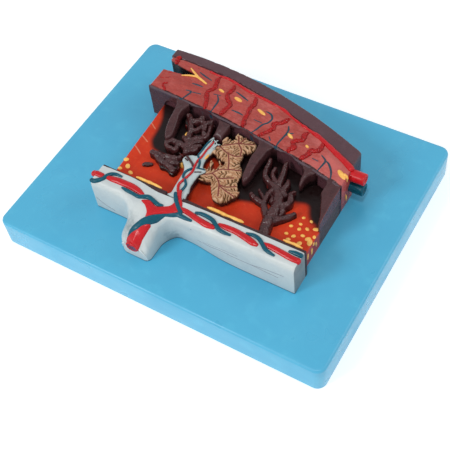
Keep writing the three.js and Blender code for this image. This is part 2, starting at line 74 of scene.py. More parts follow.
wallTop = nodeBox("uterine_muscle_wall")[1][2]
floorTop = nodeBox("blood_space_floor")[1][2]
plateTop = nodeBox("chorionic_plate")[1][2]
cutFaceX = nodeBox("uterine_muscle_wall")[1][0]
wallLeftX = nodeBox("uterine_muscle_wall")[0][0]


# Numbers on arrays

def smoothLine(points, count, closed=False):
    # Catmull-Rom curve through the points, spaced evenly along its length
    p = np.asarray(points, float)
    p = np.vstack([p[-1:], p, p[:2]]) if closed else np.vstack([2 * p[0] - p[1], p, 2 * p[-1] - p[-2]])
    t = np.linspace(0, 1, 16, endpoint=False)[:, None, None]
    a, b, c, d = p[None, :-3], p[None, 1:-2], p[None, 2:-1], p[None, 3:]
    curve = 0.5 * (2 * b + (c - a) * t + (2 * a - 5 * b + 4 * c - d) * t ** 2
                   + (3 * b - a - 3 * c + d) * t ** 3)
    curve = np.vstack([curve.transpose(1, 0, 2).reshape(-1, p.shape[1]), p[-2:-1]])
    steps = np.linalg.norm(np.diff(curve, axis=0), axis=1)
    reach = np.concatenate([[0], np.cumsum(steps)])
    where = np.linspace(0, reach[-1], count + 1)[:-1] if closed else np.linspace(0, reach[-1], count)
    return np.stack([np.interp(where, reach, curve[:, k]) for k in range(p.shape[1])], 1)


def lumps(x, y, size, seed):
    # smooth random hills from -1 to 1, about one to each square of the given size
    table = np.random.default_rng(seed).random((64, 64)) * 2 - 1
    u, v = np.asarray(x) / size + 500, np.asarray(y) / size + 500
    i, j = np.floor(u).astype(int), np.floor(v).astype(int)
    s, t = (w * w * (3 - 2 * w) for w in (u - i, v - j))
    near = table[i % 64, j % 64] * (1 - s) + table[(i + 1) % 64, j % 64] * s
    far = table[i % 64, (j + 1) % 64] * (1 - s) + table[(i + 1) % 64, (j + 1) % 64] * s
    return near * (1 - t) + far * t


def ease(low, high, value):
    # soft step from 0 at low to 1 at high
    t = np.clip((value - low) / (high - low), 0, 1)
    return t * t * (3 - 2 * t)


def nearest(line, x, y):
    # distance from points to a line, how far along it the nearest point lies, and which side they are on
    best = np.full(x.shape, 1e9)
    along = np.zeros(x.shape)
    side = np.zeros(x.shape)
    start = 0.0
    for a, b in zip(line[:-1], line[1:]):
        step = b[:2] - a[:2]
        size = max(np.hypot(*step), 1e-9)
        t = np.clip(((x - a[0]) * step[0] + (y - a[1]) * step[1]) / size ** 2, 0, 1)
        dx, dy = x - a[0] - t * step[0], y - a[1] - t * step[1]
        gap = np.hypot(dx, dy)
        closer = gap < best
        best = np.where(closer, gap, best)
        along = np.where(closer, start + t * size, along)
        side = np.where(closer, np.sign(step[0] * dy - step[1] * dx), side)
        start += size
    return best, along, side


def insideOutline(points):
    # signed distance to a closed outline: negative inside it
    loop = np.vstack([points, points[:1]])

    def field(x, y):
        crossings = np.zeros(x.shape, int)
        for a, b in zip(loop[:-1], loop[1:]):
            if a[1] != b[1]:
                spans = (a[1] > y) != (b[1] > y)
                crossings += spans & (x < a[0] + (y - a[1]) * (b[0] - a[0]) / (b[1] - a[1]))
        gap = nearest(loop, x, y)[0]
        return np.where(crossings % 2 == 1, -gap, gap)
    return field


# Making meshes

def placed(name, data):
    # new object in the scene
    thing = bpy.data.objects.new(name, data)
    bpy.context.scene.collection.objects.link(thing)
    return thing


def gridQuads(rows, cols, wrap=False):
    # faces of a grid of rows by cols points, the last column joined to the first where it wraps
    i = np.arange(rows - 1)[:, None] * cols
    j = np.arange(cols if wrap else cols - 1)[None, :]
    after = (j + 1) % cols
    return np.stack([i + j, i + cols + j, i + cols + after, i + after], -1).reshape(-1, 4)


def shape(verts, quads=(), tris=()):
    # a surface: its points, four-sided faces and triangles
    return (np.asarray(verts, float).reshape(-1, 3), np.asarray(quads, int).reshape(-1, 4),
            np.asarray(tris, int).reshape(-1, 3))


def closedRings(rings, first, last):
    # skin over rings of points, closed by a fan of triangles to a pole at each end
    n, m = rings.shape[:2]
    k = np.arange(m)
    after = (k + 1) % m
    fans = np.vstack([np.stack([after, k, np.full(m, n * m)], 1),
                      np.stack([k + (n - 1) * m, after + (n - 1) * m, np.full(m, n * m + 1)], 1)])
    return shape(np.vstack([rings.reshape(-1, 3), [first, last]]), gridQuads(n, m, wrap=True), fans)


def joined(shapes):
    # several surfaces as one: the later ones' point numbers move up by the points before them
    starts = np.cumsum([0] + [len(s[0]) for s in shapes])
    return tuple(np.concatenate([s[k] + (start if k else 0) for s, start in zip(shapes, starts)])
                 for k in range(3))


def makePiece(name, surface, finish, *replaces, slot=None, sharp=40, paint=None):
    # one closed mesh from a surface in millimetres, in the place of the nodes that it replaces;
    # paint holds masks with a value from 0 to 1 for each point
    verts, quads, tris = surface
    mesh = bpy.data.meshes.new(name)
    mesh.vertices.add(len(verts))
    mesh.vertices.foreach_set("co", ((verts * mm) + [0, 0, boardTop]).ravel())
    corners = np.concatenate([quads.ravel(), tris.ravel()])
    mesh.loops.add(len(corners))
    mesh.loops.foreach_set("vertex_index", corners)
    starts = np.concatenate([4 * np.arange(len(quads)), 4 * len(quads) + 3 * np.arange(len(tris))])
    mesh.polygons.add(len(starts))
    mesh.polygons.foreach_set("loop_start", starts)
    mesh.update(calc_edges=True)
    mesh.validate()
    for mask, values in (paint or {}).items():
        layer = mesh.attributes.new(mask, "FLOAT", "POINT")
        layer.data.foreach_set("value", np.asarray(values, np.float32).ravel())
    work = bmesh.new()
    work.from_mesh(mesh)
    bmesh.ops.remove_doubles(work, verts=work.verts, dist=2e-6)  # points moved onto one spot of the outline
    bmesh.ops.dissolve_degenerate(work, edges=work.edges, dist=1e-6)
    bmesh.ops.recalc_face_normals(work, faces=work.faces)
    if work.calc_volume(signed=True) < 0:
        bmesh.ops.reverse_faces(work, faces=work.faces)
    work.to_mesh(mesh)
    work.free()
    mesh.polygons.foreach_set("use_smooth", np.ones(len(mesh.polygons), bool))
    mesh.set_sharp_from_angle(angle=math.radians(sharp))
    mesh.materials.append(finishes[finish])
    piece = placed(name, mesh)
    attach(piece, "root")
    if replaces:
        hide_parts(*replaces)
    slot = slot or otherSlots.get(finish, finish)  # most finishes bear the name of their slot


def around(rim, margin):
    # square area that holds an outline, with a margin
    (x0, y0), (x1, y1) = np.min(rim, 0), np.max(rim, 0)
    return (x0 - margin, x1 + margin), (y0 - margin, y1 + margin)


def relief(field, area, step, topAt, bottom):
    # solid under a height map: a square grid, its border points moved onto the outline where field is 0,
    # closed by a straight wall down to a flat underside
    (x0, x1), (y0, y1) = area
    x, y = np.meshgrid(np.arange(x0, x1 + step, step), np.arange(y0, y1 + step, step), indexing="ij")
    away = field(x, y)
    gx, gy = np.gradient(away, step)
    steep = np.maximum(gx ** 2 + gy ** 2, 0.25)
    snap = np.abs(away) < 0.55 * step  # just over half a step, so that every cut cell has a point to move
    x, y = np.where(snap, x - away * gx / steep, x), np.where(snap, y - away * gy / steep, y)
    away = np.where(snap, 0.0, away)
    quads = gridQuads(*x.shape)
    far = np.abs(away.ravel())[quads]  # each cell is split along the diagonal that lies nearer the outline
    turned = np.maximum(far[:, 0], far[:, 2]) > np.maximum(far[:, 1], far[:, 3])
    tris = np.where(turned[:, None, None], quads[:, [[0, 1, 3], [1, 2, 3]]], quads[:, [[0, 1, 2], [0, 2, 3]]])
    tris = tris.reshape(-1, 3)
    kept = away.ravel()[tris]
    tris = tris[(kept <= 1e-9).all(1) & (kept < -1e-9).any(1)]  # only what lies inside the outline stays
    used, tris = np.unique(tris, return_inverse=True)
    tris = tris.reshape(-1, 3)
    px, py = x.ravel()[used], y.ravel()[used]
    depth = np.maximum(-field(px, py), 0)
    depth[away.ravel()[used] == 0] = 0
    top = np.stack([px, py, topAt(px, py, depth)], 1)
    under = np.stack([px, py, bottom(px, py) if callable(bottom) else 0 * px + bottom], 1)
    n = len(px)
    sides = np.concatenate([tris[:, [0, 1]], tris[:, [1, 2]], tris[:, [2, 0]]])
    key = np.sort(sides, 1) @ [n, 1]
    edges, uses = np.unique(key, return_counts=True)
    rim = sides[np.isin(key, edges[uses == 1])]  # an edge that only one triangle has lies on the outline
    skirt = np.stack([rim[:, 1], rim[:, 0], rim[:, 0] + n, rim[:, 1] + n], 1)
    return shape(np.vstack([top, under]), skirt, np.vstack([tris, tris[:, ::-1] + n]))


def slab(field, area, step, topAt, thick, inset, foot):
    # overhanging top: a slab of even thickness, and under it a core that stands back by the inset
    # and reaches a little up into it; the mask is 1 where the surface lies well below the top and paints the
    # sides and underside dark: partly their own brown, partly painted shade under the overhang
    def crown(x, y):
        return topAt(x, y, 0 * x + 99)

    upper = relief(field, area, step, topAt, lambda x, y: crown(x, y) - thick)
    core = relief(lambda x, y: field(x, y) + inset, area, step,
                  lambda x, y, depth: crown(x, y) - thick + 0.6, foot)
    surface = joined([upper, core])
    x, y, z = surface[0].T
    return surface, ease(1.3, 2.4, crown(x, y) - z)


def roll(radius, depth):
    # how far a rolled edge drops at a distance in from it: a quarter circle
    part = np.clip(depth / radius, 0, 1)
    return radius * (1 - np.sqrt(np.maximum(1 - (1 - part) ** 2, 0)))


def rounded(top, radius, depth):
    # height of a top whose edge is rolled off: depth is the distance in from the outline
    return top - roll(radius, depth)


def runAlong(line):
    # length travelled up to each point of a line
    return np.concatenate([[0], np.cumsum(np.linalg.norm(np.diff(line[:, :2], axis=0), axis=1))])


def tube(points, radius, sides=14, count=None, squash=1.0, smooth=True):
    # round bar: a circle carried along a line, its radius given at the line's points, with half-round ends
    line = np.column_stack([points, np.broadcast_to(np.asarray(radius, float), len(points))])
    if smooth:
        line = smoothLine(line, count or 6 * len(points))
    path, r = line[:, :3], np.maximum(line[:, 3], 0.05)
    ahead = np.gradient(path, axis=0)
    ahead /= np.linalg.norm(ahead, axis=1, keepdims=True)
    capTurn = np.linspace(0.12, 1, 4)[:, None] * math.pi / 2  # four rings to each end, a little flattened
    first = path[0] - ahead[0] * r[0] * np.cos(capTurn) * 0.8
    last = path[-1] + ahead[-1] * r[-1] * np.cos(capTurn[::-1]) * 0.8
    r = np.concatenate([r[0] * np.sin(capTurn[:, 0]), r, r[-1] * np.sin(capTurn[::-1, 0])])
    path = np.vstack([first, path, last])
    ahead = np.vstack([np.repeat(ahead[:1], 4, 0), ahead, np.repeat(ahead[-1:], 4, 0)])
    across = np.cross(ahead, [0, 0, 1])
    across /= np.maximum(np.linalg.norm(across, axis=1, keepdims=True), 1e-6)
    upward = np.cross(across, ahead)
    turn = np.arange(sides) * 2 * math.pi / sides
    ring = across[:, None] * np.cos(turn)[:, None] + upward[:, None] * np.sin(turn)[:, None] * squash
    rings = path[:, None] + ring * r[:, None, None]
    return closedRings(rings, rings[0].mean(0), rings[-1].mean(0))


def dome(x, y, z, length, width, turn, height, upright=False, sides=16):
    # drop of paint: half an ellipsoid, in rings from its flat foot up to the crown
    rise = np.linspace(0, math.pi / 2, 6)[:-1, None]
    circle = np.arange(sides)[None, :] * 2 * math.pi / sides
    u = np.cos(rise) * np.cos(circle) * length / 2
    v = np.cos(rise) * np.sin(circle) * width / 2
    w = np.sin(rise) * height + 0 * circle
    cos, sin = math.cos(math.radians(turn)), math.sin(math.radians(turn))
    rings = np.stack([u * cos - v * sin, u * sin + v * cos, w], -1)
    crown = np.array([0, 0, height])
    if upright:  # on a face that looks along +X: plan X becomes Y, plan Y becomes Z
        rings, crown = rings[..., [2, 0, 1]], crown[[2, 0, 1]]
    foot = np.array([x, y, z])
    return closedRings(rings + foot, foot, crown + foot)


# Paints and finishes

def rgba(hexColour):
    # linear colour from a hex triplet
    parts = [int(hexColour[k:k + 2], 16) / 255 for k in (0, 2, 4)]
    return (*[p / 12.92 if p < 0.04045 else ((p + 0.055) / 1.055) ** 2.4 for p in parts], 1)


def addNode(material, kind, **settings):
    # new shader node: each setting goes to its socket, or else to the node itself
    node = material.node_tree.nodes.new(kind)
    for name, value in settings.items():
        if name in node.inputs:
            node.inputs[name].default_value = value
        else:
            setattr(node, name, value)
    return node


def wire(material, source, target):
    # lead one socket to another
    material.node_tree.links.new(source, target)


def blendColour(material, factor, first, second, kind="MIX"):
    # mix of two colours or sockets by a factor or socket
    node = addNode(material, "ShaderNodeMix", data_type="RGBA", blend_type=kind)
    for index, value in ((0, factor), (6, first), (7, second)):
        if isinstance(value, bpy.types.NodeSocket):
            wire(material, value, node.inputs[index])
        else:
            node.inputs[index].default_value = value
    return node.outputs[2]


def maths(material, kind, first, second=None, third=None):
    # one sum on sockets or numbers
    node = addNode(material, "ShaderNodeMath", operation=kind)
    for index, value in enumerate((first, second, third)):
        if isinstance(value, bpy.types.NodeSocket):
            wire(material, value, node.inputs[index])
        elif value is not None:
            node.inputs[index].default_value = value
    return node.outputs[0]


def ramp(material, value, low, high):
    # soft step of a socket between two values
    node = addNode(material, "ShaderNodeMapRange", interpolation_type="SMOOTHSTEP",
                   **{"From Min": low, "From Max": high})
    wire(material, value, node.inputs["Value"])
    return node.outputs[0]


def noise(material, place, size, detail=3.0, stretch=(1, 1, 1), distortion=0.0, turn=0.0):
    # noise with features of about the given size in millimetres
    mapping = addNode(material, "ShaderNodeMapping", Scale=tuple(s / (size * mm) for s in stretch),
                      Rotation=(0, 0, math.radians(turn)))
    wire(material, place, mapping.inputs["Vector"])
    node = addNode(material, "ShaderNodeTexNoise", Scale=1.0, Detail=detail, Roughness=0.55,
                   Distortion=distortion)
    wire(material, mapping.outputs[0], node.inputs["Vector"])
    return node.outputs["Fac"]


def painted(name, base, darker, lighter, mottle=9.0, strength=0.5, roughness=0.34, specular=0.3, bumps=0.35,
            bumpSize=2.2, masks=(), stretch=(1, 1, 1), turn=0.0, streaks=None, glossSize=3.5):
    # brushed paint over cast resin: two noises vary the colour, a third makes brush marks in the gloss,
    # a fourth and fifth raise the surface a little; each mask paints a colour where an attribute is 1,
    # some only below a height
    material = bpy.data.materials.new(name)
    material.use_nodes = True
    shader = material.node_tree.nodes["Principled BSDF"]
    place = addNode(material, "ShaderNodeTexCoord").outputs["Object"]
    broad = noise(material, place, mottle, 3, stretch, 0.4, turn)
    fine = noise(material, place, mottle / 5, 4, stretch, 0.2, turn)
    colour = blendColour(material, maths(material, "MULTIPLY", ramp(material, broad, 0.42, 0.68), strength),
                         rgba(base), rgba(darker))
    colour = blendColour(material, maths(material, "MULTIPLY", ramp(material, fine, 0.5, 0.78), strength),
                         colour, rgba(lighter))
    if streaks:
        streakColour, length, width, amount, angle = streaks
        line = noise(material, place, width, 2, (width / length, 1, 1), 0.3, angle)
        colour = blendColour(material, maths(material, "MULTIPLY", ramp(material, line, 0.6, 0.72), amount),
                             colour, rgba(streakColour))
    height = addNode(material, "ShaderNodeSeparateXYZ")
    wire(material, place, height.inputs[0])
    for attribute, hexColour, roughEdge, *below in masks:
        mask = addNode(material, "ShaderNodeAttribute", attribute_name=attribute).outputs["Fac"]
        if roughEdge:
            wobble = maths(material, "MULTIPLY", maths(material, "SUBTRACT", fine, 0.5), roughEdge)
            mask = ramp(material, maths(material, "ADD", mask, wobble), 0.25, 0.75)
        if below:
            low, high = (boardTop + z * mm for z in below[0])
            mask = maths(material, "MULTIPLY", mask, ramp(material, height.outputs["Z"], high, low))
        tint = blendColour(material, ramp(material, broad, 0.35, 0.7), rgba(hexColour),
                           tuple(c * 0.8 for c in rgba(hexColour)[:3]) + (1,))
        colour = blendColour(material, mask, colour, tint)
    wire(material, colour, shader.inputs["Base Color"])
    rough = addNode(material, "ShaderNodeMapRange", **{"From Min": 0.3, "From Max": 0.7,
                                                       "To Min": roughness - 0.07, "To Max": roughness + 0.12})
    wire(material, noise(material, place, glossSize, 3), rough.inputs["Value"])
    wire(material, rough.outputs[0], shader.inputs["Roughness"])
    shader.inputs["Specular IOR Level"].default_value = specular
    uneven = maths(material, "MULTIPLY_ADD", noise(material, place, bumpSize, 3, stretch, 0.2, turn), 1.0,
                   maths(material, "MULTIPLY", noise(material, place, bumpSize * 3, 2), 1.6))
    bump = addNode(material, "ShaderNodeBump", Strength=bumps, Distance=0.0006)
    wire(material, uneven, bump.inputs["Height"])
    wire(material, bump.outputs[0], shader.inputs["Normal"])
    return material


finishes = {
    "board": painted("blueLacquer", "4eb0d5", "48a8cf", "58bbdc", mottle=60, roughness=0.3, specular=0.5,
                     bumps=0.02, bumpSize=5, glossSize=40),
    "muscle": painted("brickRedMuscle", "aa4037", "902e25", "b9564a", strength=0.6, roughness=0.26,
                      specular=0.34, bumps=0.5, bumpSize=2.6,
                      masks=(("pinkPaint", "c4625c", 0.7), ("shadePaint", "120b0c", 0.0, (31.4, 33.2)),
                             ("greyPaint", "6d4a4c", 0.5), ("endPaint", "b4504c", 0.4),
                             ("edgePaint", "461c1c", 0.5)),
                      stretch=(0.45, 1, 1), turn=-6, streaks=("6c2220", 9, 1.1, 0.55, -6)),
    "outer": painted("plumOuterLayer", "563b41", "4c343b", "624750", mottle=22, roughness=0.3, specular=0.28,
                     bumps=0.25, bumpSize=4, masks=(("endPaint", "3f3c4a", 0.5),)),
    "basal": painted("darkBasalLayer", "563436", "42272b", "66464b", mottle=6, roughness=0.24, specular=0.2,
                     bumpSize=1.8,
                     masks=(("rimPaint", "5d4b52", 0.4), ("recessPaint", "623d44", 0.3),
                            ("tealPaint", "1f4658", 0.7), ("endPaint", "5c3f48", 0.4))),
    "septum": painted("slatePurpleSeptum", "48292b", "351d20", "5a4145", mottle=5, strength=0.6,
                      roughness=0.26, specular=0.26, bumps=0.14, bumpSize=2.6,
                      masks=(("coolPaint", "673a3b", 0.5), ("deepPaint", "1d1012", 0.4))),
    "floor": painted("orangeRedFloor", "cd3a1d", "be2f18", "d8522c", mottle=16, specular=0.16, bumps=0.25,
                     bumpSize=2.4,
                     masks=(("shadowPaint", "1a0b0b", 0.0), ("rubPaint", "e08263", 0.5),
                            ("endPaint", "b04040", 0.6), ("coolPaint", "5e433f", 0.6))),
    "plate": painted("whitePlate", "c9d0cf", "b9c2c5", "d3dada", mottle=18, roughness=0.36, specular=0.4,
                     bumps=0.3, bumpSize=3,
                     masks=(("browPaint", "3d2926", 0.5), ("soilPaint", "93a2a6", 0.6),
                            ("endPaint", "878f92", 0.5), ("footPaint", "1c4a64", 0.0, (0.4, 1.2)))),
    "ridge": painted("paleCordEndRidgeHighlight", "e2e8e8", "c9d2d3", "f0f4f4", mottle=4, roughness=0.32, specular=0.4,
                     bumps=0.3, bumpSize=1.6),
    "crease": painted("greyCreaseShade", "7f7f8c", "5b5a6a", "97929e", mottle=4, roughness=0.4, specular=0.2,
                      bumps=0.2, bumpSize=1.2),
    "band": painted("brownEdgeBand", "3f2a2c", "2e1d1d", "523637", mottle=4, roughness=0.36, specular=0.22,
                    bumps=0.6, bumpSize=1.2),
    "artery": painted("arteryRed", "c4101a", "a80b14", "d42a2c", mottle=7, strength=0.4, roughness=0.2,
                      bumps=0.16, bumpSize=2.4, masks=(("lumenPaint", "6a4560", 0.5),)),
    "vein": painted("veinTeal", "075366", "064256", "15707c", mottle=7, strength=0.45, roughness=0.2,
                    specular=0.2, bumps=0.16, bumpSize=2.4),
    "tealStroke": painted("tealBrushStroke", "23404f", "1b3240", "3d3c4a", mottle=5, strength=0.6,
                          roughness=0.26, specular=0.25, bumps=0.3, bumpSize=1.4),
    "spiral": painted("spiralDeepRed", "a80508", "740205", "d01814", mottle=2.6, strength=0.75,
                      roughness=0.2, specular=0.22, bumpSize=1.6, masks=(("sidePaint", "66070b", 0.4),)),
    "stem": painted("whiteStem", "bccaca", "a6b6ba", "ccd6d5", roughness=0.28, specular=0.4, bumps=0.4,
                    bumpSize=2, masks=(("sidePaint", "35252a", 0.5),)),
    "tan": painted("tanCutVillus", "bd8f6c", "a67854", "d0a884", mottle=5, roughness=0.36, specular=0.25,
                   bumps=0.45, bumpSize=1.2,
                   masks=(("groovePaint", "6c4c2a", 0.5), ("ridgePaint", "d6ae8a", 0.4),
                          ("veinPaint", "7a3832", 0.3), ("sidePaint", "4a2c24", 0.4))),
    "villus": painted("darkVillus", "452021", "2a1213", "5f3537", mottle=4.4, strength=0.6, roughness=0.15,
                      specular=0.36, bumps=0.75, bumpSize=1.7,
                      masks=(("deepPaint", "22100f", 0.4), ("glowPaint", "721a16", 0.4))),
    "yellow": painted("yellowGland", "fdc160", "eda646", "ffdb90", mottle=3, strength=0.6, roughness=0.26,
                      specular=0.35, bumps=0.3, bumpSize=1),
}
otherSlots = {"outer": "outer_layer", "septum": "basal", "ridge": "plate", "crease": "plate",
              "band": "edge_band", "tealStroke": "vein", "spiral": "spiral_artery", "tan": "cut_villus"}
print("finishes ready:", len(finishes))


# Board: a rounded-rectangle outline carried up a profile of insets, edges rolled over, flat faces closed

board = {"length": 300.0, "width": 235.0, "thickness": 27.0, "cornerRadius": 8.0, "edgeRadius": 2.5,
         "footRadius": 0.8}


def boardShape(b):
    # ring at each height = corner centres + (corner radius - inset) * unit arcs
    turn = np.linspace(0, math.pi / 2, 9)
    corners = [(1, 1), (-1, 1), (-1, -1), (1, -1)]
    reach = np.array([b["length"] / 2, b["width"] / 2]) - b["cornerRadius"]
    arcs = [np.stack([np.cos(turn + k * math.pi / 2), np.sin(turn + k * math.pi / 2)], 1) for k in range(4)]
    away = np.vstack(arcs)
    core = np.repeat(reach * corners, len(turn), 0)
    r, foot, low = b["edgeRadius"], b["footRadius"], -b["thickness"]
    bend = np.linspace(0, math.pi / 2, 7)
    profile = [(b["cornerRadius"], low)]
    profile += [(foot * (1 - math.sin(a)), low + foot * (1 - math.cos(a))) for a in bend]
    profile += [(0.0, low + share * (-r - low)) for share in (0.35, 0.7)]
    profile += [(r * (1 - math.cos(a)), -r + r * math.sin(a)) for a in bend]
    profile += [(b["cornerRadius"], 0.0)]
    inset = np.array(profile)
    plan = core[None] + away[None] * (b["cornerRadius"] - inset[:, :1, None])
    rings = np.concatenate([plan, np.broadcast_to(inset[:, 1][:, None, None], plan.shape[:2] + (1,))], 2)
    inner = [rings[-1] * [share, share, 1] for share in (0.75, 0.5, 0.25)]
    return closedRings(np.concatenate([rings, np.array(inner)]), (0, 0, low), (0, 0, 0))


makePiece("displayBoard", boardShape(board), "board", "base_board", sharp=35)
print("board made")


# Uterine wall

wall = {
    "reach": 98.0,
    "front": (44, 35.8, 17.5),  # y of the front edge at the left, the middle and the right
    "muscle": (38, 37.7, 21),  # how deep the muscle is there
    "outer": (9.5, 11.8, 16.2),  # how deep the outer layer is there
    "overhang": 2.0,
    "outerCorner": 5.0,
    "basal": 2.2,
    "gap": 0.3,
    "rim": 1.3,
    "step": 0.8,
}


def bow(x, values):
    # parabola through three values at the left, the middle and the right
    left, middle, right = values
    share = x / wall["reach"]
    return middle + (right - left) / 2 * share + (left + right - 2 * middle) / 2 * share ** 2


def frontY(x):
    # front edge of the wall's top
    return bow(x, wall["front"])


def muscleBackY(x):
    # where muscle meets outer layer: front edge + depth of the muscle
    return frontY(x) + bow(x, wall["muscle"])


def outerY(x):
    # back of the wall: that line + depth of the outer layer
    return muscleBackY(x) + bow(x, wall["outer"])


def onMuscle(points):
    # (x, share, ...) to (x, y, ...): share 0 is the front edge of the muscle's top, 1 its back edge
    points = np.asarray(points, float)
    points[:, 1] = frontY(points[:, 0]) + points[:, 1] * bow(points[:, 0], wall["muscle"])
    return points


def muscleTopAt(x, y):
    # cast top: long low waves and a fine ripple along the fibres
    return wallTop - 0.35 + 0.22 * lumps(x, y * 2, 14, 3) + 0.12 * lumps(x, y * 2.5, 5, 4)


def laidOnMuscle(line, lift=0.0):
    # plan line to a line on the muscle's top
    return np.column_stack([line[:, :2], muscleTopAt(line[:, 0], line[:, 1]) + lift])


acrossX = np.linspace(wallLeftX, cutFaceX, 80)
notchRim = np.array([(-98, 77.5), (-93, 76.5), (-88, 75), (-80, 73.5), (-73, 72.5), (-66.5, 71), (-66, 70),
                     (-67, 69), (-73, 67.5), (-80, 67), (-88, 66.5), (-93, 66), (-98, 65.5)])
muscleRim = np.vstack([
    np.stack([acrossX, frontY(acrossX)], 1),
    np.stack([acrossX, muscleBackY(acrossX) - wall["gap"]], 1)[::-1],
    notchRim,
])
muscleArea = ((wallLeftX - 0.4, cutFaceX + 0.4), (16.8, 83.2))
muscleSurface = relief(insideOutline(muscleRim), muscleArea, wall["step"],
                       lambda x, y, depth: rounded(muscleTopAt(x, y), wall["rim"], depth), 0.0)
x, y, z = muscleSurface[0].T
inNotch = ease(2.2, 0.9, nearest(notchRim, x, y)[0])
# painted shade: a grey tint on the muscle's top along the notch's lower edge
notchEdgeShadePatch = [(-92, 65), (-86, 66), (-80, 66.4), (-76, 64), (-80, 60), (-87, 57), (-92, 58), (-94, 61)]
notchEdgeShadeField = insideOutline(smoothLine(notchEdgeShadePatch, 60, closed=True))
notchEdgeShade = 0.3 * ease(1.2, -1.2, notchEdgeShadeField(x, y) + 1.2 * lumps(x, y, 3, 15))
edge = ease(1.5, 0.5, y - frontY(x) + 0.5 * lumps(x, y, 5, 16)) * ease(-85, -80, x)
# pink tint over the muscle's top, stronger to the right: partly its own colour, partly painted sheen
pinkTintAndSheen = (0.45 + 0.4 * ease(-0.4, 0.6, lumps(x * 0.6, y, 13, 17))) * (0.45 + 0.55 * ease(-30, 70, x))
makePiece("muscleWall", muscleSurface, "muscle", "uterine_muscle_wall",
          paint={"shadePaint": inNotch, "greyPaint": notchEdgeShade, "endPaint": ease(96.9, 97.5, x), "edgePaint": edge,
                 "pinkPaint": pinkTintAndSheen})

outerLeft = wallLeftX - wall["overhang"]
outerX = np.linspace(outerLeft, cutFaceX, 80)
r = wall["outerCorner"]
endY = outerY(cutFaceX - r) - r
turn = np.linspace(0, math.pi / 2.6, 8)
outerRim = np.vstack([
    np.stack([outerX, muscleBackY(outerX)], 1),
    np.stack([cutFaceX - r + r * np.cos(turn), endY + r * np.sin(turn)], 1),
    np.stack([outerX, outerY(outerX)], 1)[::-1][4:],  # without the points that the corner takes up
])
outerSurface = relief(insideOutline(outerRim), ((outerLeft - 0.4, cutFaceX + 0.4), (38, 92.4)), wall["step"],
                      lambda x, y, depth: rounded(wallTop - 0.25 + 0.2 * lumps(x, y, 9, 7), 1.6, depth), 0.0)
makePiece("outerLayer", outerSurface, "outer", "uterine_outer_layer",
          paint={"endPaint": ease(95.5, 97.5, outerSurface[0][:, 0])})
print("wall made")


# Basal layer: the wall's front face, hollowed into dark arches between the septa

basal = {  # arches: left, right and top of each
    "arches": [(-85, -63, 25), (-58.5, -20, 34.2), (-15, 22, 34.2), (28, 64, 34), (70, 88.5, 31.6)],
    "hollow": 1.5,
    "rim": 0.7,
    "tealMarks": (-64.5, -34.5, 7.5, 33),
    "columns": 300,
    "rows": 44,
}


def archDepth(x, z, arches):
    # 1 inside an arch, 0 outside: |u|^2.3 + v^2.3 < 1, u across from its middle, v up its round head
    inside = np.zeros(np.broadcast(x, z).shape)
    for left, right, head in arches:
        u = (x - (left + right) / 2) / ((right - left) / 2)
        v = np.maximum(z - (head - 15), 0) / 15
        inside = np.maximum(inside, ease(0.0, 0.16, 1 - np.abs(u) ** 2.3 - v ** 2.3))
    return inside


def basalShape(b):
    # ring at each x: up the hollowed face, round the lip, then straight down the back
    x = np.linspace(wallLeftX, cutFaceX, b["columns"])[:, None]
    top, back = wallTop - 0.3, frontY(x) - wall["gap"]
    front = frontY(x) - wall["basal"]
    z = np.linspace(0, top - b["rim"], b["rows"])[None, :]
    wobble = 0.2 * lumps(x, z, 7, 11) + 0.08 * lumps(x, z, 3, 12)
    faceY = front + b["hollow"] * archDepth(x, z, b["arches"]) + 0.3 + wobble * ease(top - 2, top - 5, z)
    turn = np.linspace(0, math.pi / 2, 5)[None, 1:]
    lipY = faceY[:, -1:] + b["rim"] * (1 - np.cos(turn))
    lipZ = top - b["rim"] + b["rim"] * np.sin(turn) + 0 * x
    backY = np.concatenate([back, back], 1)
    backZ = np.concatenate([top + 0 * x, 0 * x], 1)
    y = np.concatenate([faceY, lipY, backY], 1)
    z = np.concatenate([z + 0 * x, lipZ, backZ], 1)
    rings = np.stack([x + 0 * y, y, z], 2)
    return closedRings(rings, *rings[[0, -1]].mean(1))


basalSurface = basalShape(basal)
x, y, z = basalSurface[0].T
inArch = archDepth(x, z, basal["arches"])
teal = sum(ease(2.6, 0.8, np.hypot(x - mark, z - 33)) for mark in basal["tealMarks"])
makePiece("basalLayer", basalSurface, "basal", "basal_plate",
          # maroon in the arches' hollows: partly their own colour, partly painted light, its tone set for how
          # the hollows look in shade
          paint={"recessPaint": np.clip(inArch * ease(-91, -88, x), 0, 1),
                 # painted light: a paler band along the top of the front face, outside the arches
                 "rimPaint": ease(30.5, 33, z) * (1 - inArch),
                 "tealPaint": np.clip(teal, 0, 1) * (1 - inArch) * ease(32.2, 33, z),
                 "endPaint": ease(96.9, 97.5, x)})

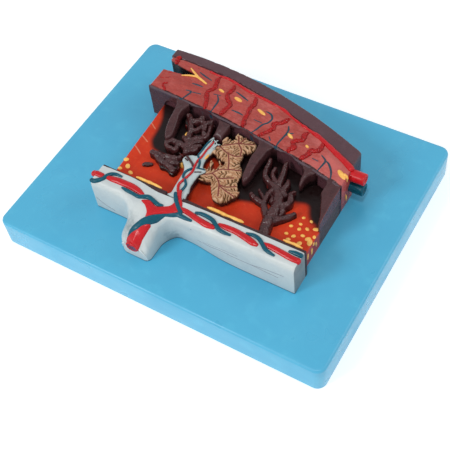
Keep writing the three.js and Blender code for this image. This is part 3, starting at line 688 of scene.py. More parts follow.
septa = {
    "placental_septum_1": {"side": [(-68.5, 41.5), (-66, 36), (-64.5, 29), (-63.5, 21), (-62, 12.5), (-60, 7),
                                    (-57.5, 3.5), (-55, 3.5), (-53, 7.5), (-53.5, 13), (-55, 20), (-57, 27.5),
                                    (-56.5, 33.5), (-54, 39)], "tip": 9, "power": 1.7},
    "placental_septum_2": {"side": [(-23.5, 35.5), (-22.5, 31), (-22.5, 26), (-23, 23), (-19, 23), (-14, 22.5),
                                    (-14, 25.5), (-12.5, 30), (-11.5, 34.5)], "tip": 9, "power": 1.3},
    "placental_septum_3": {"side": [(16.5, 32), (18.5, 27.5), (19, 22), (18.5, 14), (19.5, 4), (20.5, -3),
                                    (22.5, -7), (25, -7.5), (27, -1), (27, 7), (28, 17), (29.5, 25),
                                    (32, 29), (35.5, 30.5)], "tip": 9, "power": 1.7},
    "placental_septum_4": {"side": [(58.5, 26.5), (61.5, 23), (64, 18.5), (64, 13.5), (65, 9), (66.5, 8),
                                    (67.5, 9.5), (68, 13.5), (70, 17.5), (73.5, 20.5), (75, 23)],
                           "tip": 8, "power": 1.2},
    "placental_septum_5": {"side": [(85, 21), (85.5, 14.5), (85.5, 7), (88, 2), (90.5, -4), (93.5, -10.5),
                                    (95.5, -17.5), (97.5, -19), (97.5, 17.5)], "tip": 9, "power": 1.7},
}


septumForm = {"roll": 2.2, "belowWall": 0.5, "rootFade": 2.5, "step": 0.5}


def basalFrontY(x):
    # front of the basal layer
    return frontY(x) - wall["basal"]


for name, septum in septa.items():
    side = np.array(septum["side"], float)
    endFace = name.endswith("5")
    rim = np.vstack([smoothLine(side[:-1], 60), side[-1:]]) if endFace else smoothLine(side, 90)
    openRim = rim[:-1] if endFace else rim  # the cut face keeps a sharp edge
    rootY, tipY = side[:, 1].max(), side[:, 1].min()
    fall = (wallTop - floorTop - septum["tip"]) / (rootY - tipY) ** septum["power"]

    def septumTopAt(x, y, depth):
        # wall's top - fall * (distance out from the wall) ^ power, its edges rolled over
        away = np.maximum(basalFrontY(x) - y, 0)
        top = wallTop - septumForm["belowWall"] - fall * away ** septum["power"]
        top = top + 0.35 * lumps(x, y, 4, 21) + 0.15 * lumps(x, y, 1.8, 22)
        gap = np.minimum(nearest(openRim, x, y)[0], depth + 99 * endFace)
        return rounded(top, septumForm["roll"], gap + ease(septumForm["rootFade"], 0.0, away) * 4)

    surface = relief(insideOutline(rim), around(rim, 0.5), septumForm["step"], septumTopAt, floorTop)
    x, y, z = surface[0].T
    cool = ease(96.4, 97.4, x)
    # painted shade: each septum darkens down its sides towards the floor
    makePiece(name.replace("placental_septum_", "septum"), surface, "septum", name,
              paint={"coolPaint": cool, "deepPaint": ease(25, 19, z) * (1 - cool)})
print("basal layer and septa made")


# Floor of the blood space, airbrushed black towards the wall

floor = {
    "backLeftX": -84.0,
    "frontLeftX": -80.0,
    "frontY": -46.5,
    "rim": 0.9,
    "sharperEnd": 0.85,
    "tuck": 1.2,
    "black": [(-84, 41), (-76.5, 27), (-73, 15), (-72, 8), (-70.5, 1.5), (-65.5, -4.5), (-59.5, -6),
              (-53.5, -6.5), (-45.5, -4), (-36, 2), (-26, 6), (-22, 10), (-10, 8), (4, 2), (8, -10),
              (14.5, -18), (23.5, -20), (28.5, -19), (35, -17), (45, -14.5), (55, -10), (63, -3), (75, 1),
              (79.5, -1), (83, -7.5), (87, -12), (90.5, -13.5), (98, -12), (99, 50), (-84, 50)],
    "soft": 3.2,
    "rubs": [[(-83.8, 19.1), (-75.7, 14.1)], [(-81.8, 2.9), (-73.7, -1.1)], [(-80.8, -9.2), (-71.7, -14.7)]],
}
floorRim = np.vstack([
    [(floor["frontLeftX"], floor["frontY"]), (cutFaceX, floor["frontY"])],
    np.stack([acrossX, basalFrontY(acrossX) + floor["tuck"] * ease(97.4, 96, acrossX)], 1)[::-1][:74],
    [(floor["backLeftX"], basalFrontY(floor["backLeftX"]) + floor["tuck"])],
])


def floorTopAt(x, y, depth):
    # low waves, the rim rolled off less where the black runs over the cut face
    rim = floor["rim"] - floor["sharperEnd"] * ease(90, 92, x) * ease(-20, -18, y)
    return rounded(floorTop - 0.1 + 0.3 * lumps(x, y, 12, 31) + 0.12 * lumps(x, y, 4, 32), rim, depth)


floorSurface = relief(insideOutline(floorRim), ((-84.6, 98.1), (-47, 42)), 1.0, floorTopAt, 0.0)
x, y, z = floorSurface[0].T
blackField = insideOutline(smoothLine(floor["black"], 240, closed=True))
black = ease(floor["soft"], -floor["soft"] * 0.6, blackField(x, y)) * ease(floorTop - 6, floorTop - 2, z)
# pale short strokes on the floor near its left edge
paleStroke = sum(ease(0.9, 0.1, nearest(np.array(line), x, y)[0]) for line in floor["rubs"])
makePiece("bloodSpaceFloor", floorSurface, "floor", "blood_space_floor",
          paint={"shadowPaint": black, "rubPaint": np.clip(paleStroke, 0, 1), "endPaint": ease(97, 97.5, x),
                 "coolPaint": ease(97, 97.5, x) * ease(-20.5, -17.5, y)})
print("floor made")


# Chorionic plate and the stump of the cord, one relief with a rolled front edge

plate = {
    "left": -83.5,
    "right": 101.0,
    "back": -49.0,
    "backEdge": [(101, -49), (60, -49), (20, -49), (0, -49.5), (-6, -50), (-22, -50.5), (-28.5, -50.5),
                 (-36, -49.5), (-46, -48), (-57, -47.5), (-70, -47.5), (-83.5, -48)],
    "front": -66.5,
    "shoulder": 4.5,
    "cordMiddle": -28.0,
    "cordHalf": 14.0,
    "cordEnd": -94.0,
    "flareLeft": 14.0,
    "flareRight": 11.0,
    "endRadii": (8.0, 4.0),
    "endRim": 1.8,
    "cordShoulder": 12.5,
    "cordEndHeight": 19.5,
    "fallPower": 1.3,
    "footIn": 4.2,
    "step": 0.5,
}


def quarter(centreX, centreY, radius, start):
    # quarter circle in plan, start in degrees, counterclockwise
    a = np.radians(np.linspace(start, start + 90, 12))
    return np.stack([centreX + radius * np.cos(a), centreY + radius * np.sin(a)], 1)


cordLeft, cordRight = plate["cordMiddle"] - plate["cordHalf"], plate["cordMiddle"] + plate["cordHalf"]
flareLeft, flareRight = plate["flareLeft"], plate["flareRight"]
leftRadius, rightRadius = plate["endRadii"]
leftSide = np.vstack([
    [(plate["left"] - 20, plate["front"])],
    quarter(cordLeft - flareLeft, plate["front"] - flareLeft, flareLeft, 0)[::-1],
    quarter(cordLeft + leftRadius, plate["cordEnd"] + leftRadius, leftRadius, 180),
])
rightSide = np.vstack([
    quarter(cordRight - rightRadius, plate["cordEnd"] + rightRadius, rightRadius, 270),
    quarter(cordRight + flareRight, plate["front"] - flareRight, flareRight, 90)[::-1],
    [(plate["right"] + 20, plate["front"])],
])
backEdge = smoothLine(plate["backEdge"], 60)
plateRim = np.vstack([[(plate["left"], plate["front"])], leftSide[1:], rightSide[:-1],
                      [(plate["right"], plate["front"])], backEdge])


def backAt(x):
    # where the plate's wavy back edge runs
    return np.interp(x, backEdge[::-1, 0], backEdge[::-1, 1])


def crestAt(y):
    # the cord droops to its cut end: fall = (height lost) * (share of its length) ^ 1.3
    share = np.clip((plate["front"] - y) / (plate["front"] - plate["cordEnd"]), 0, 1)
    return plateTop - (plateTop - plate["cordEndHeight"]) * share ** plate["fallPower"]


def plateTopAt(x, y, depth=None):
    # crest height less the rolls: wide along the front, wider still down the cord, narrow at the other edges
    out = ease(plate["front"] + 4, plate["front"] - 12, y)
    sides = np.minimum(nearest(leftSide, x, y)[0], nearest(rightSide, x, y)[0])
    ends = np.minimum(x - plate["left"], plate["right"] - x)
    drop = roll(plate["shoulder"] + (plate["cordShoulder"] - plate["shoulder"]) * out, sides)
    drop = drop + roll(1.0, ends) + roll(0.9, backAt(x) - y) + roll(plate["endRim"], y - plate["cordEnd"])
    return crestAt(y) - drop + 0.15 * lumps(x, y, 8, 41) - 0.15


def footShift(x):
    # the foot of the front face runs further in beside the cord: a bell curve in x
    return plate["footIn"] * np.exp(-((x - 3) / 26) ** 2) * ease(-16, -6, x)


plateArea = ((plate["left"] - 0.5, plate["right"] + 0.5), (plate["cordEnd"] - 0.5, plate["back"] + 2.2))
plateSurface = relief(insideOutline(plateRim), plateArea, plate["step"], plateTopAt, 0.0)
x, y, z = plateSurface[0].T
# brow is the dark line on the back edge, open behind the cord; cordShade is painted shade, grey on the cord's
# left and at its neck
brow = ease(0.9, 0.1, backAt(x) - y) * ease(8.5, 10.5, np.abs(x + 14.5)) * (0.6 + 0.4 * ease(-60, -36, x))
cordShade = ease(-67, -76, y) * ease(10, 17, z) * ease(-20, -34, x) * (0.5 + 0.2 * lumps(x, y, 7, 43))
cordShade += 0.6 * ease(-78, -70, y) * ease(-24, -12, x) * ease(16, -8, x) * ease(32, 8, z)
y += footShift(x) * ((z < 1) & (y < -60))
# painted shadow: a thin dark blue line along the foot of the front face, where it meets the board
inFront = (y < -60) * 1.0
makePiece("chorionicPlateAndCord", plateSurface, "plate", "chorionic_plate",
          paint={"browPaint": brow, "soilPaint": np.clip(cordShade, 0, 1) * inFront, "endPaint": ease(100.6, 101, x),
                 "footPaint": inFront})

# raised ring round the cord's end: a real ridge, painted paler than the plate as its highlight
cordRidge = {"reach": 12.4, "foot": 1.5, "height": 14.0, "radius": 0.55}
ring = np.radians(np.linspace(0, 180, 40))
endLine = np.vstack([leftSide[-12:], rightSide[:12]])
ringX = plate["cordMiddle"] + cordRidge["reach"] * np.cos(ring)
ringY = np.interp(ringX, endLine[:, 0], endLine[:, 1]) - 0.05
ringLine = np.stack([ringX, ringY, cordRidge["foot"] + cordRidge["height"] * np.sin(ring) ** 0.8], 1)
makePiece("cordEndRidge", joined([tube(side, cordRidge["radius"], 10, squash=0.7, smooth=False)
                                  for side in (ringLine[:13], ringLine[-13:])]), "ridge", sharp=60)

# grey lines on the plate's front face: painted shade along its creases and ledges; short grey marks on its end
# face
creases = {
    "front": [([(13.8, 12), (26, 12.4), (37, 14.4), (50, 14), (63.4, 14.3), (75, 13.6), (87.2, 13.1)], 0.22),
              ([(63.4, 14.3), (77.6, 17), (92, 18.4)], 0.22),
              ([(20, 13.6), (36, 17), (52, 17.6)], 0.16),
              ([(-82, 12.8), (-73.7, 7.2), (-64.8, 4.6)], 0.22),
              ([(11.2, 26.4), (11.6, 27.2)], 0.42)],
    "end": [(-62.6, 25.4), (-55.2, 14.7), (-52, 11)],
    "endRadius": 0.4,
}


def frontLine(points, radius):
    # thin line on the plate's front face from (x, z) points; the face leans in by footShift down to its foot
    line = smoothLine(points, 12 * len(points))
    y = plate["front"] + footShift(line[:, 0]) * (1 - line[:, 1] / 29)
    return tube(np.stack([line[:, 0], y + 0.05, line[:, 1]], 1), radius, 8, smooth=False)


endX = plate["right"] + 0.05
marks = [frontLine(*crease) for crease in creases["front"]]
marks += [tube([(endX, y, z - 0.5), (endX, y, z + 0.5)], creases["endRadius"], 8) for y, z in creases["end"]]
makePiece("plateCreases", joined(marks), "crease", sharp=60)

bands = {"left": (-83.5, -21.8, 51), "right": (-7.2, 101, 52)}
for side, (left, right, seed) in bands.items():
    edge = backEdge[(backEdge[:, 0] > left) & (backEdge[:, 0] < right)] - [0, 0.2]
    rim = np.vstack([[(right, edge[0, 1])], edge, [(left, edge[-1, 1]), (left, -46.5), (right, -46.5)]])
    surface = relief(insideOutline(rim), ((left - 0.4, right + 0.4), (-50.4, -46.1)), 0.4,
                     lambda x, y, depth: rounded(plateTop - 1.0 + 0.3 * lumps(x, y, 5, seed), 0.8, depth), 0.0)
    makePiece("edgeBand" + side.title(), surface, "band", "plate_edge_band_" + side)
print("plate made")


# Vessels on the plate: round bars half sunk in it, the veins carried over the arteries they cross

vesselRuns = {
    "plate_artery_left_end": [(-85.5, -57.5, 2.5), (-82, -57.5, 2.5), (-77.5, -57.5, 2.4)],
    "plate_artery_left": [(-71.5, -57, 2.0), (-66, -56.5, 2.7), (-60, -56, 2.9), (-50, -56, 2.9),
                          (-43, -57, 2.6), (-37.5, -58.5, 1.7)],
    "plate_artery_right_1": [(-7.5, -57.5, 2.0), (0, -57, 2.2), (5, -57.5, 2.3), (15, -59.5, 2.4),
                             (23, -60.5, 2.6), (29, -60.5, 1.8)],
    "plate_artery_right_2": [(31.5, -56, 1.4), (37, -56, 2.3), (46, -56, 2.5), (56, -57.5, 2.7),
                             (62.5, -59, 2.6), (66, -59.5, 1.6)],
    "plate_artery_right_3": [(70, -56, 1.4), (75, -56, 2.2), (86, -57, 2.5), (94, -58, 2.5), (100, -58, 2.5)],
    "plate_vein_left_1": [(-83, -64.5, 2.0), (-80.5, -64.5, 2.1), (-77, -62.5, 2.1), (-74.5, -59.5, 1.9),
                          (-73.5, -56, 1.9), (-71, -53, 1.8), (-67, -51.5, 1.5), (-62, -51.5, 0.9)],
    "plate_vein_left_2": [(-55.5, -60.5, 0.9), (-51, -61, 1.6), (-45, -61.5, 1.6), (-39, -62, 1.8),
                          (-35.5, -60.5, 2.1), (-31.5, -59, 2.2), (-26.5, -60, 2.1), (-20.5, -61.5, 1.8),
                          (-17, -61, 1.2)],
    "plate_vein_right_1": [(10, -55, 1.2), (14, -54, 1.7), (19, -54, 1.9), (25, -55, 1.9), (29, -57.5, 1.9),
                           (33, -60, 1.9), (38, -61, 1.7), (44, -61, 1.0)],
    "plate_vein_right_2": [(54.5, -54, 1.2), (60, -53, 1.7), (65, -54, 1.8), (69, -56.5, 1.8), (73, -59.5, 1.8),
                           (77, -61, 1.6), (82, -62, 1.0)],
    "plate_vein_right_3": [(90.5, -53.5, 1.1), (94.5, -53, 1.9), (100, -53, 2.1)],
}
vesselFit = {
    "lift": {"artery": 0.0, "vein": 0.7},
    "fuller": {"artery": 1.12, "vein": 0.95},
    "sink": 0.25,
    "squash": 0.85,
}


def vessel(route, lift):
    # bar along (x, y, radius) points on the plate: axis height = plate's top + lift - sink * radius
    line = smoothLine(route, 5 * len(route))
    height = plateTopAt(line[:, 0], line[:, 1]) + lift
    path = np.column_stack([line[:, :2], height - line[:, 2] * vesselFit["sink"]])
    return tube(path, line[:, 2], 16, squash=vesselFit["squash"], count=3 * len(line))


for node, run in vesselRuns.items():
    words = node.split("_")
    kind = words[1]
    surface = vessel(np.array(run) * [1, 1, vesselFit["fuller"][kind]], vesselFit["lift"][kind])
    makePiece(words[0] + "".join(word.title() for word in words[1:]), surface, kind, node, sharp=60)

broadVessels = {
    "middle": [(-35, -64), (-31.5, -61.5), (-27.5, -61), (-23, -63), (-19.5, -63), (-15, -60.5),
               (-11.5, -57.5), (-10.5, -52), (-9, -49.5), (-7.5, -52.5), (-4.5, -57), (-2.5, -61),
               (-8.5, -65.5), (-14.5, -68.5), (-20, -72), (-24.5, -75.5), (-26, -70.5), (-30, -66.5)],
    "branch": [(-12.4, -41.6, 1.2), (-11, -45.3, 1.5), (-8.6, -49.3, 1.6), (-5.4, -52.8, 1.5),
               (-3.2, -56.6, 1.1)],
    "cord": [(-33, -89), (-29, -85), (-25, -81), (-21.5, -78), (-18.5, -77), (-18.5, -80.5), (-21, -94),
             (-26, -94.5), (-33.5, -94)],
    "crescent": [(-1.5, -61), (-5, -62.5), (-9.5, -65), (-14, -67.5), (-21, -71.5), (-26, -75.5), (-30, -81),
                 (-32.5, -85.5), (-33.5, -89.5), (-32.5, -91), (-29, -88), (-25.5, -85), (-23, -81), (-16, -74),
                 (-12, -69), (-9.5, -67), (-1.5, -64.5), (1, -63)],
    "overBranch": [(-14.8, -45.6, 1.4), (-12.4, -49, 1.7), (-9, -53, 1.8), (-5.2, -56.6, 1.9),
                   (-1.4, -59.6, 1.9), (-0.6, -62.4, 1.9)],
    "tail": [(-2, -62.4, 2.2), (2, -62.7, 1.9), (6, -62.9, 1.6), (10.4, -62.9, 1.1)],
    "cutEnd": {"x": -27.2, "y": -94.45, "z": 13.6, "width": 11.6, "height": 9.6, "rim": 0.28},
    "step": 0.4,
    "sink": 1.5,
}


def patch(rim, area, rise, radius, scale):
    # broad flat vessel: a relief that follows the plate and rises inside its outline
    return relief(insideOutline(rim), area, broadVessels["step"],
                  lambda x, y, depth: plateTopAt(x, y) + rounded(rise, radius, depth) * scale,
                  lambda x, y: plateTopAt(x, y) - broadVessels["sink"])


def cutEnd(x, y, z, width, height, rim, sides=40):
    # cut vessel on the cord's end: rings from its sunk middle out over an oval rim and back into the cord;
    # the mask is 1 on the sunk face
    turn = np.arange(sides) * 2 * math.pi / sides
    wave = 1 + 0.05 * np.sin(3 * turn + 1) + 0.03 * np.sin(5 * turn)
    over = np.linspace(0, math.pi, 7)
    reach = np.concatenate([[0.3, 0.6, 1 - 1.6 * rim, 1 - 1.2 * rim],
                            1 - rim * (0.5 - 0.5 * np.cos(over))[::-1], [1.0]])
    lift = np.concatenate([[-0.1, -0.2, -0.25, -0.2], 0.8 * np.sin(over), [-1.2]])
    rings = np.stack([x + width / 2 * reach[:, None] * (np.cos(turn) * wave),
                      y - lift[:, None] + 0 * turn,
                      z + height / 2 * reach[:, None] * (np.sin(turn) * wave)], 2)
    sunk = np.concatenate([np.repeat(ease(1 - 0.6 * rim, 1 - 1.1 * rim, reach), sides), [1, 0]])
    return closedRings(rings, (x, y + 0.1, z), (x, y + 1.2, z)), sunk


middleRim = smoothLine(broadVessels["middle"], 12 * len(broadVessels["middle"]), closed=True)
middleRun = patch(middleRim, around(middleRim, 1), rise=1.5, radius=1.8, scale=1.5 / 1.8)
makePiece("plateArteryMiddle", middleRun, "artery", "plate_artery_middle", sharp=60)
makePiece("plateArteryBranch", vessel(broadVessels["branch"], 0.4), "artery", sharp=60)
cordRim = smoothLine(broadVessels["cord"], 140, closed=True)
cordRun = patch(cordRim, ((-35, -16), (-95, -76)), rise=1.5, radius=1.8, scale=0.8)
cutMark, lumen = cutEnd(**broadVessels["cutEnd"])
makePiece("cordArtery", joined([cordRun, cutMark]), "artery", "cord_artery", sharp=60,
          paint={"lumenPaint": np.concatenate([np.zeros(len(cordRun[0])), lumen])})
crescentRim = smoothLine(broadVessels["crescent"], 260, closed=True)
crescentRun = patch(crescentRim, ((-35, 2), (-92, -60.4)), rise=2.2, radius=2.4, scale=0.85)
middleVein = [vessel(broadVessels["overBranch"], 0.9), vessel(broadVessels["tail"], 0.4), crescentRun]
makePiece("plateVeinMiddle", joined(middleVein), "vein", "plate_vein_middle", sharp=60)
print("plate vessels made")


# Stem villus and its winding vessels

stem = {
    "rim": [(-21, -48.5), (-7, -48.5), (-7, -41), (-7, -38), (-8.5, -34.5), (-9.5, -30), (-10, -19.5),
            (-9, -17), (-7, -13.5), (-8.5, -11.5), (-12, -9.5), (-14, -1.5), (-13.5, 8), (-14, 13.5),
            (-15.5, 16.5), (-18.5, 18), (-21.5, 17.5), (-23, 15), (-23.5, 11.5), (-23, -0.5), (-24.5, -2),
            (-26.5, -2.5), (-30.5, -6), (-31.5, -9), (-30.5, -12), (-26.5, -16), (-23.5, -21),
            (-22.5, -26.5), (-21, -38), (-20, -44.5)],
    "rootY": -49.0,
    "tipY": 22.0,
    "rootRelief": 14.0,
    "tipRelief": 8.0,
    "thick": 4.0,
    "inset": 2.4,
    "artery": [(-12, -46.5), (-13.5, -43.5), (-15.5, -41), (-18, -36), (-17.5, -31), (-16.5, -25), (-16, -19),
               (-17.5, -13), (-18.5, -7), (-18, -1.5), (-18.5, 6.5), (-18, 11), (-18, 17)],
    "lowerVein": [(-13, -43), (-12.5, -38), (-13, -33.5), (-16.5, -29.5), (-20, -26.5), (-20.5, -21.5),
                  (-18, -16.5)],
    "upperVeins": [([(-21.1, -2.3), (-18.4, -4.7), (-15.4, -9.1), (-14.1, -13.7)], 0.95),
                   ([(-15, -14.1), (-11, -13.2), (-8.3, -12.9)], 0.6),
                   ([(-21.6, -0.3), (-21.6, 6.6), (-21.9, 13.2), (-21.2, 16.8)], 0.75)],
    "strands": [[(-21.5, 8), (-22, 16), (-21, 21.5)],
                [(-20, 9.5), (-20, 17), (-20.5, 21.5)],
                [(-18, 12), (-17.5, 17.5), (-16, 20.5)],
                [(-15.5, 11), (-15, 16.5), (-19, 19.5)],
                [(-15, 12), (-14, 16), (-12, 17)]],
    "sideBranch": [([(-28.7, -6.8), (-24.7, -9.3), (-20.7, -11.8), (-18.9, -13.8)], 1.0),
                   ([(-29, -9.4), (-26, -10.6)], 0.6),
                   ([(-14, -18.7), (-11.8, -17.4), (-9.6, -16.2)], 0.5)],
}


def stemTopAt(x, y):
    # height falls evenly from the root to the tip
    share = (y - stem["rootY"]) / (stem["tipY"] - stem["rootY"])
    return floorTop + stem["rootRelief"] + share * (stem["tipRelief"] - stem["rootRelief"]) + 0 * x


def stemRun(points, radius, lift=0.35):
    # thin vessel along plan points on the stem's top
    points = np.array(points, float)
    return tube(np.column_stack([points, stemTopAt(points[:, 0], points[:, 1]) + lift]), radius, 12)


stemRim = smoothLine(stem["rim"], 260, closed=True)
stemSurface, below = slab(insideOutline(stemRim), ((-32.4, -6), (-49, 23.5)), 0.45,
                          lambda x, y, depth: rounded(stemTopAt(x, y) + 0.2 * lumps(x, y, 4, 61), 2.2, depth),
                          stem["thick"], stem["inset"], floorTop)
# dark sides and underside: partly brown side paint, partly painted shade under the overhang
makePiece("stemVillus", stemSurface, "stem", "stem_villus", paint={"sidePaint": below})
arterySize = np.linspace(1.3, 0.75, len(stem["artery"]))
makePiece("stemArtery", stemRun(stem["artery"], arterySize, 0.4), "artery", "stem_artery", sharp=60)
makePiece("stemVeinLower", stemRun(stem["lowerVein"], 1.15), "vein", "stem_vein_1", "stem_vein_2", sharp=60)
upperVeins = [stemRun(*vein) for vein in stem["upperVeins"]]
makePiece("stemVeinUpper", joined(upperVeins), "vein", "stem_vein_3", sharp=60)
strands = [stemRun(strand, [0.6, 0.5, 0.35], 0.1) for strand in stem["strands"]]
makePiece("stemTipStrands", joined(strands), "stem", sharp=60)
sideBranch = [stemRun(*branch) for branch in stem["sideBranch"]]
makePiece("stemSideBranch", joined(sideBranch), "septum", slot="stem", sharp=60)
print("stem made")


# Cut villus: tan lobes with leaf-like ridges that fan out from the veins

cutVillus = {
    "rim": [(-11, -17.5), (-8, -20.5), (-2.5, -20), (1, -19), (3, -22.5), (8, -29.5), (11.5, -33),
            (16.5, -34), (19.5, -32.5), (22, -30.5), (24, -26), (26, -23.5), (26.5, -19.5), (25, -16),
            (21, -12.5), (19.5, -7.5), (19.5, -3), (17.5, 2), (12, 7.5), (11.5, 13.5), (10, 18.5),
            (14, 20.5), (16, 24.5), (15.5, 29), (13, 32), (10.5, 32.5), (7, 31.5), (4.5, 34), (0.5, 33),
            (-4, 34.5), (-7, 32.5), (-4.5, 28.5), (-5.5, 25.5), (-10, 27.5), (-12.5, 24), (-12, 20.5),
            (-10.5, 19), (-11.5, 17), (-14, 16), (-14.5, 13.5), (-14.5, 10)],
    "hole": [(-12, -9), (-14.5, -4.5), (-14, 2.5), (-13, 8), (-7, 4.5), (-4.5, 5.5), (-2.5, 3), (-1, 4.5),
             (1, -1), (0, -4), (-5, -7.5), (-8.5, -9)],
    "fingers": [[(-8, -9), (-10, -2.5), (-10, 0.5), (-8, -0.5), (-7.5, -5), (-6, -8)],
                [(-1, -6), (-2.5, 0), (-4.5, 2), (-4, 2.5), (-1, 1), (1, -3.5)]],
    "veins": [[(-14.5, -18.5), (-6, -14.5), (-2.5, -11.5), (1, -5.5), (7.5, -2.5), (17, 1)],
              [(-2.5, -11.5), (2.5, -13.5), (7.5, -17.5), (10.5, -23), (13.5, -29)],
              [(3.5, -14.5), (8.5, -12), (15.5, -8)],
              [(9, -19), (14.5, -18.5), (21.5, -14.5)],
              [(-13, 14.5), (-10, 15), (-2, 12), (5.5, 12), (10, 14.5)],
              [(-9.5, 17.5), (0.5, 24.5), (8, 27.5), (13.5, 29.5)],
              [(1, 25), (-2.5, 31.5)],
              [(-1.5, 12.5), (3.5, 5), (7, -2)],
              [(9.5, -20), (16.5, -22), (25, -24)],
              [(2, 25.5), (3.5, 32)],
              [(1.5, 24.5), (6.5, 20), (8.5, 15)]],
    "olive": [(0, 17.5), (13.3, 21), (9, -7), (15, -15), (-8, 24.6)],
    "hollowHeight": 7.8,
    "ribHeight": 1.6,
    "rib": 3.7,
    "ribShift": 7.3,
    "scallop": 0.9,
    "thick": 4.2,
    "inset": 2.2,
}


def pierced(rim, holes, fingers=()):
    # signed distance to an outline with holes in it, and with fingers left standing in the holes
    outer, *inner = [insideOutline(smoothLine(line, 5 * len(line), closed=True))
                     for line in (rim, *holes, *fingers)]
    gaps, left = inner[:len(holes)], inner[len(holes):]

    def field(x, y):
        gap = np.full(x.shape, 1e9)
        for hole in gaps:
            gap = np.minimum(gap, hole(x, y))
        for finger in left:
            gap = np.maximum(gap, -finger(x, y))
        return np.maximum(outer(x, y), -gap)
    return field


cutOutline = pierced(cutVillus["rim"], [cutVillus["hole"]], cutVillus["fingers"])


def cutNearVein(x, y):
    # nearest vein to each point: how far off, how far along and on which side
    best = [np.full(x.shape, 1e9), np.zeros(x.shape), np.zeros(x.shape)]
    for k, vein in enumerate(cutVillus["veins"]):
        off, run, side = nearest(smoothLine(vein, 24), x, y)
        closer = off < best[0]
        found = (off, run + cutVillus["ribShift"] * k, side)
        best = [np.where(closer, new, old) for new, old in zip(found, best)]
    return best


def ribWave(x, y):
    # herringbone: narrow ridges leave the vein aslant on both sides and meander; 1 on a crest, 0 in a hollow
    off, run, side = cutNearVein(x, y)
    wobble = 2.6 * lumps(x, y, 4.6, 71) + 0.9 * lumps(x, y, 2.1, 72)
    phase = (run - 0.9 * off + wobble + side * 0.8) / cutVillus["rib"]
    return (0.5 + 0.5 * np.cos(2 * math.pi * phase)) ** 1.3, off


def cutField(x, y):
    # the ribs run out to the edge and scallop it
    crest, off = ribWave(x, y)
    return cutOutline(x, y) + cutVillus["scallop"] * (0.6 - crest) * ease(0.5, 1.5, off)


def cutTopAt(x, y, depth):
    # hollows plus ribs, which fade out on the veins; the rim rolled off
    crest, off = ribWave(x, y)
    ribs = 0.6 + (crest - 0.6) * ease(0.4, 1.6, off)
    top = floorTop + cutVillus["hollowHeight"] + cutVillus["ribHeight"] * ribs
    return rounded(top + 0.25 * lumps(x, y, 5, 73), 2.0, depth)


cutSurface, below = slab(cutField, ((-16, 27.5), (-35, 36)), 0.36, cutTopAt, cutVillus["thick"],
                         cutVillus["inset"], floorTop)
x, y, z = cutSurface[0].T
crest, off = ribWave(x, y)
oliveEdge = lumps(x, y, 2.4, 75)
olive = sum(ease(3.4, 1.2, np.hypot((x - spotX) * 0.8, y - spotY) + oliveEdge)
            for spotX, spotY in cutVillus["olive"])
# painted shade in the hollows between the ribs, together with the villus's own olive spots
grooveShadeAndOlive = ease(0.4, 0.08, crest) * ease(0.8, 1.7, off) * ease(-0.7, 0.2, lumps(x, y, 5, 74))
grooveShadeAndOlive = np.maximum(grooveShadeAndOlive, 0.6 * np.clip(olive, 0, 1) * (1.1 - crest))
# the ridge mask paints highlight on the rib crests
makePiece("cutVillus", cutSurface, "tan", "cut_villus", sharp=70,
          paint={"groovePaint": grooveShadeAndOlive, "ridgePaint": ease(0.5, 0.85, crest) * ease(0.4, 1.2, off),
                 "veinPaint": ease(0.75, 0.4, off), "sidePaint": below})
print("cut villus made")


# Dark villi: branches as round-backed strokes laid on one another

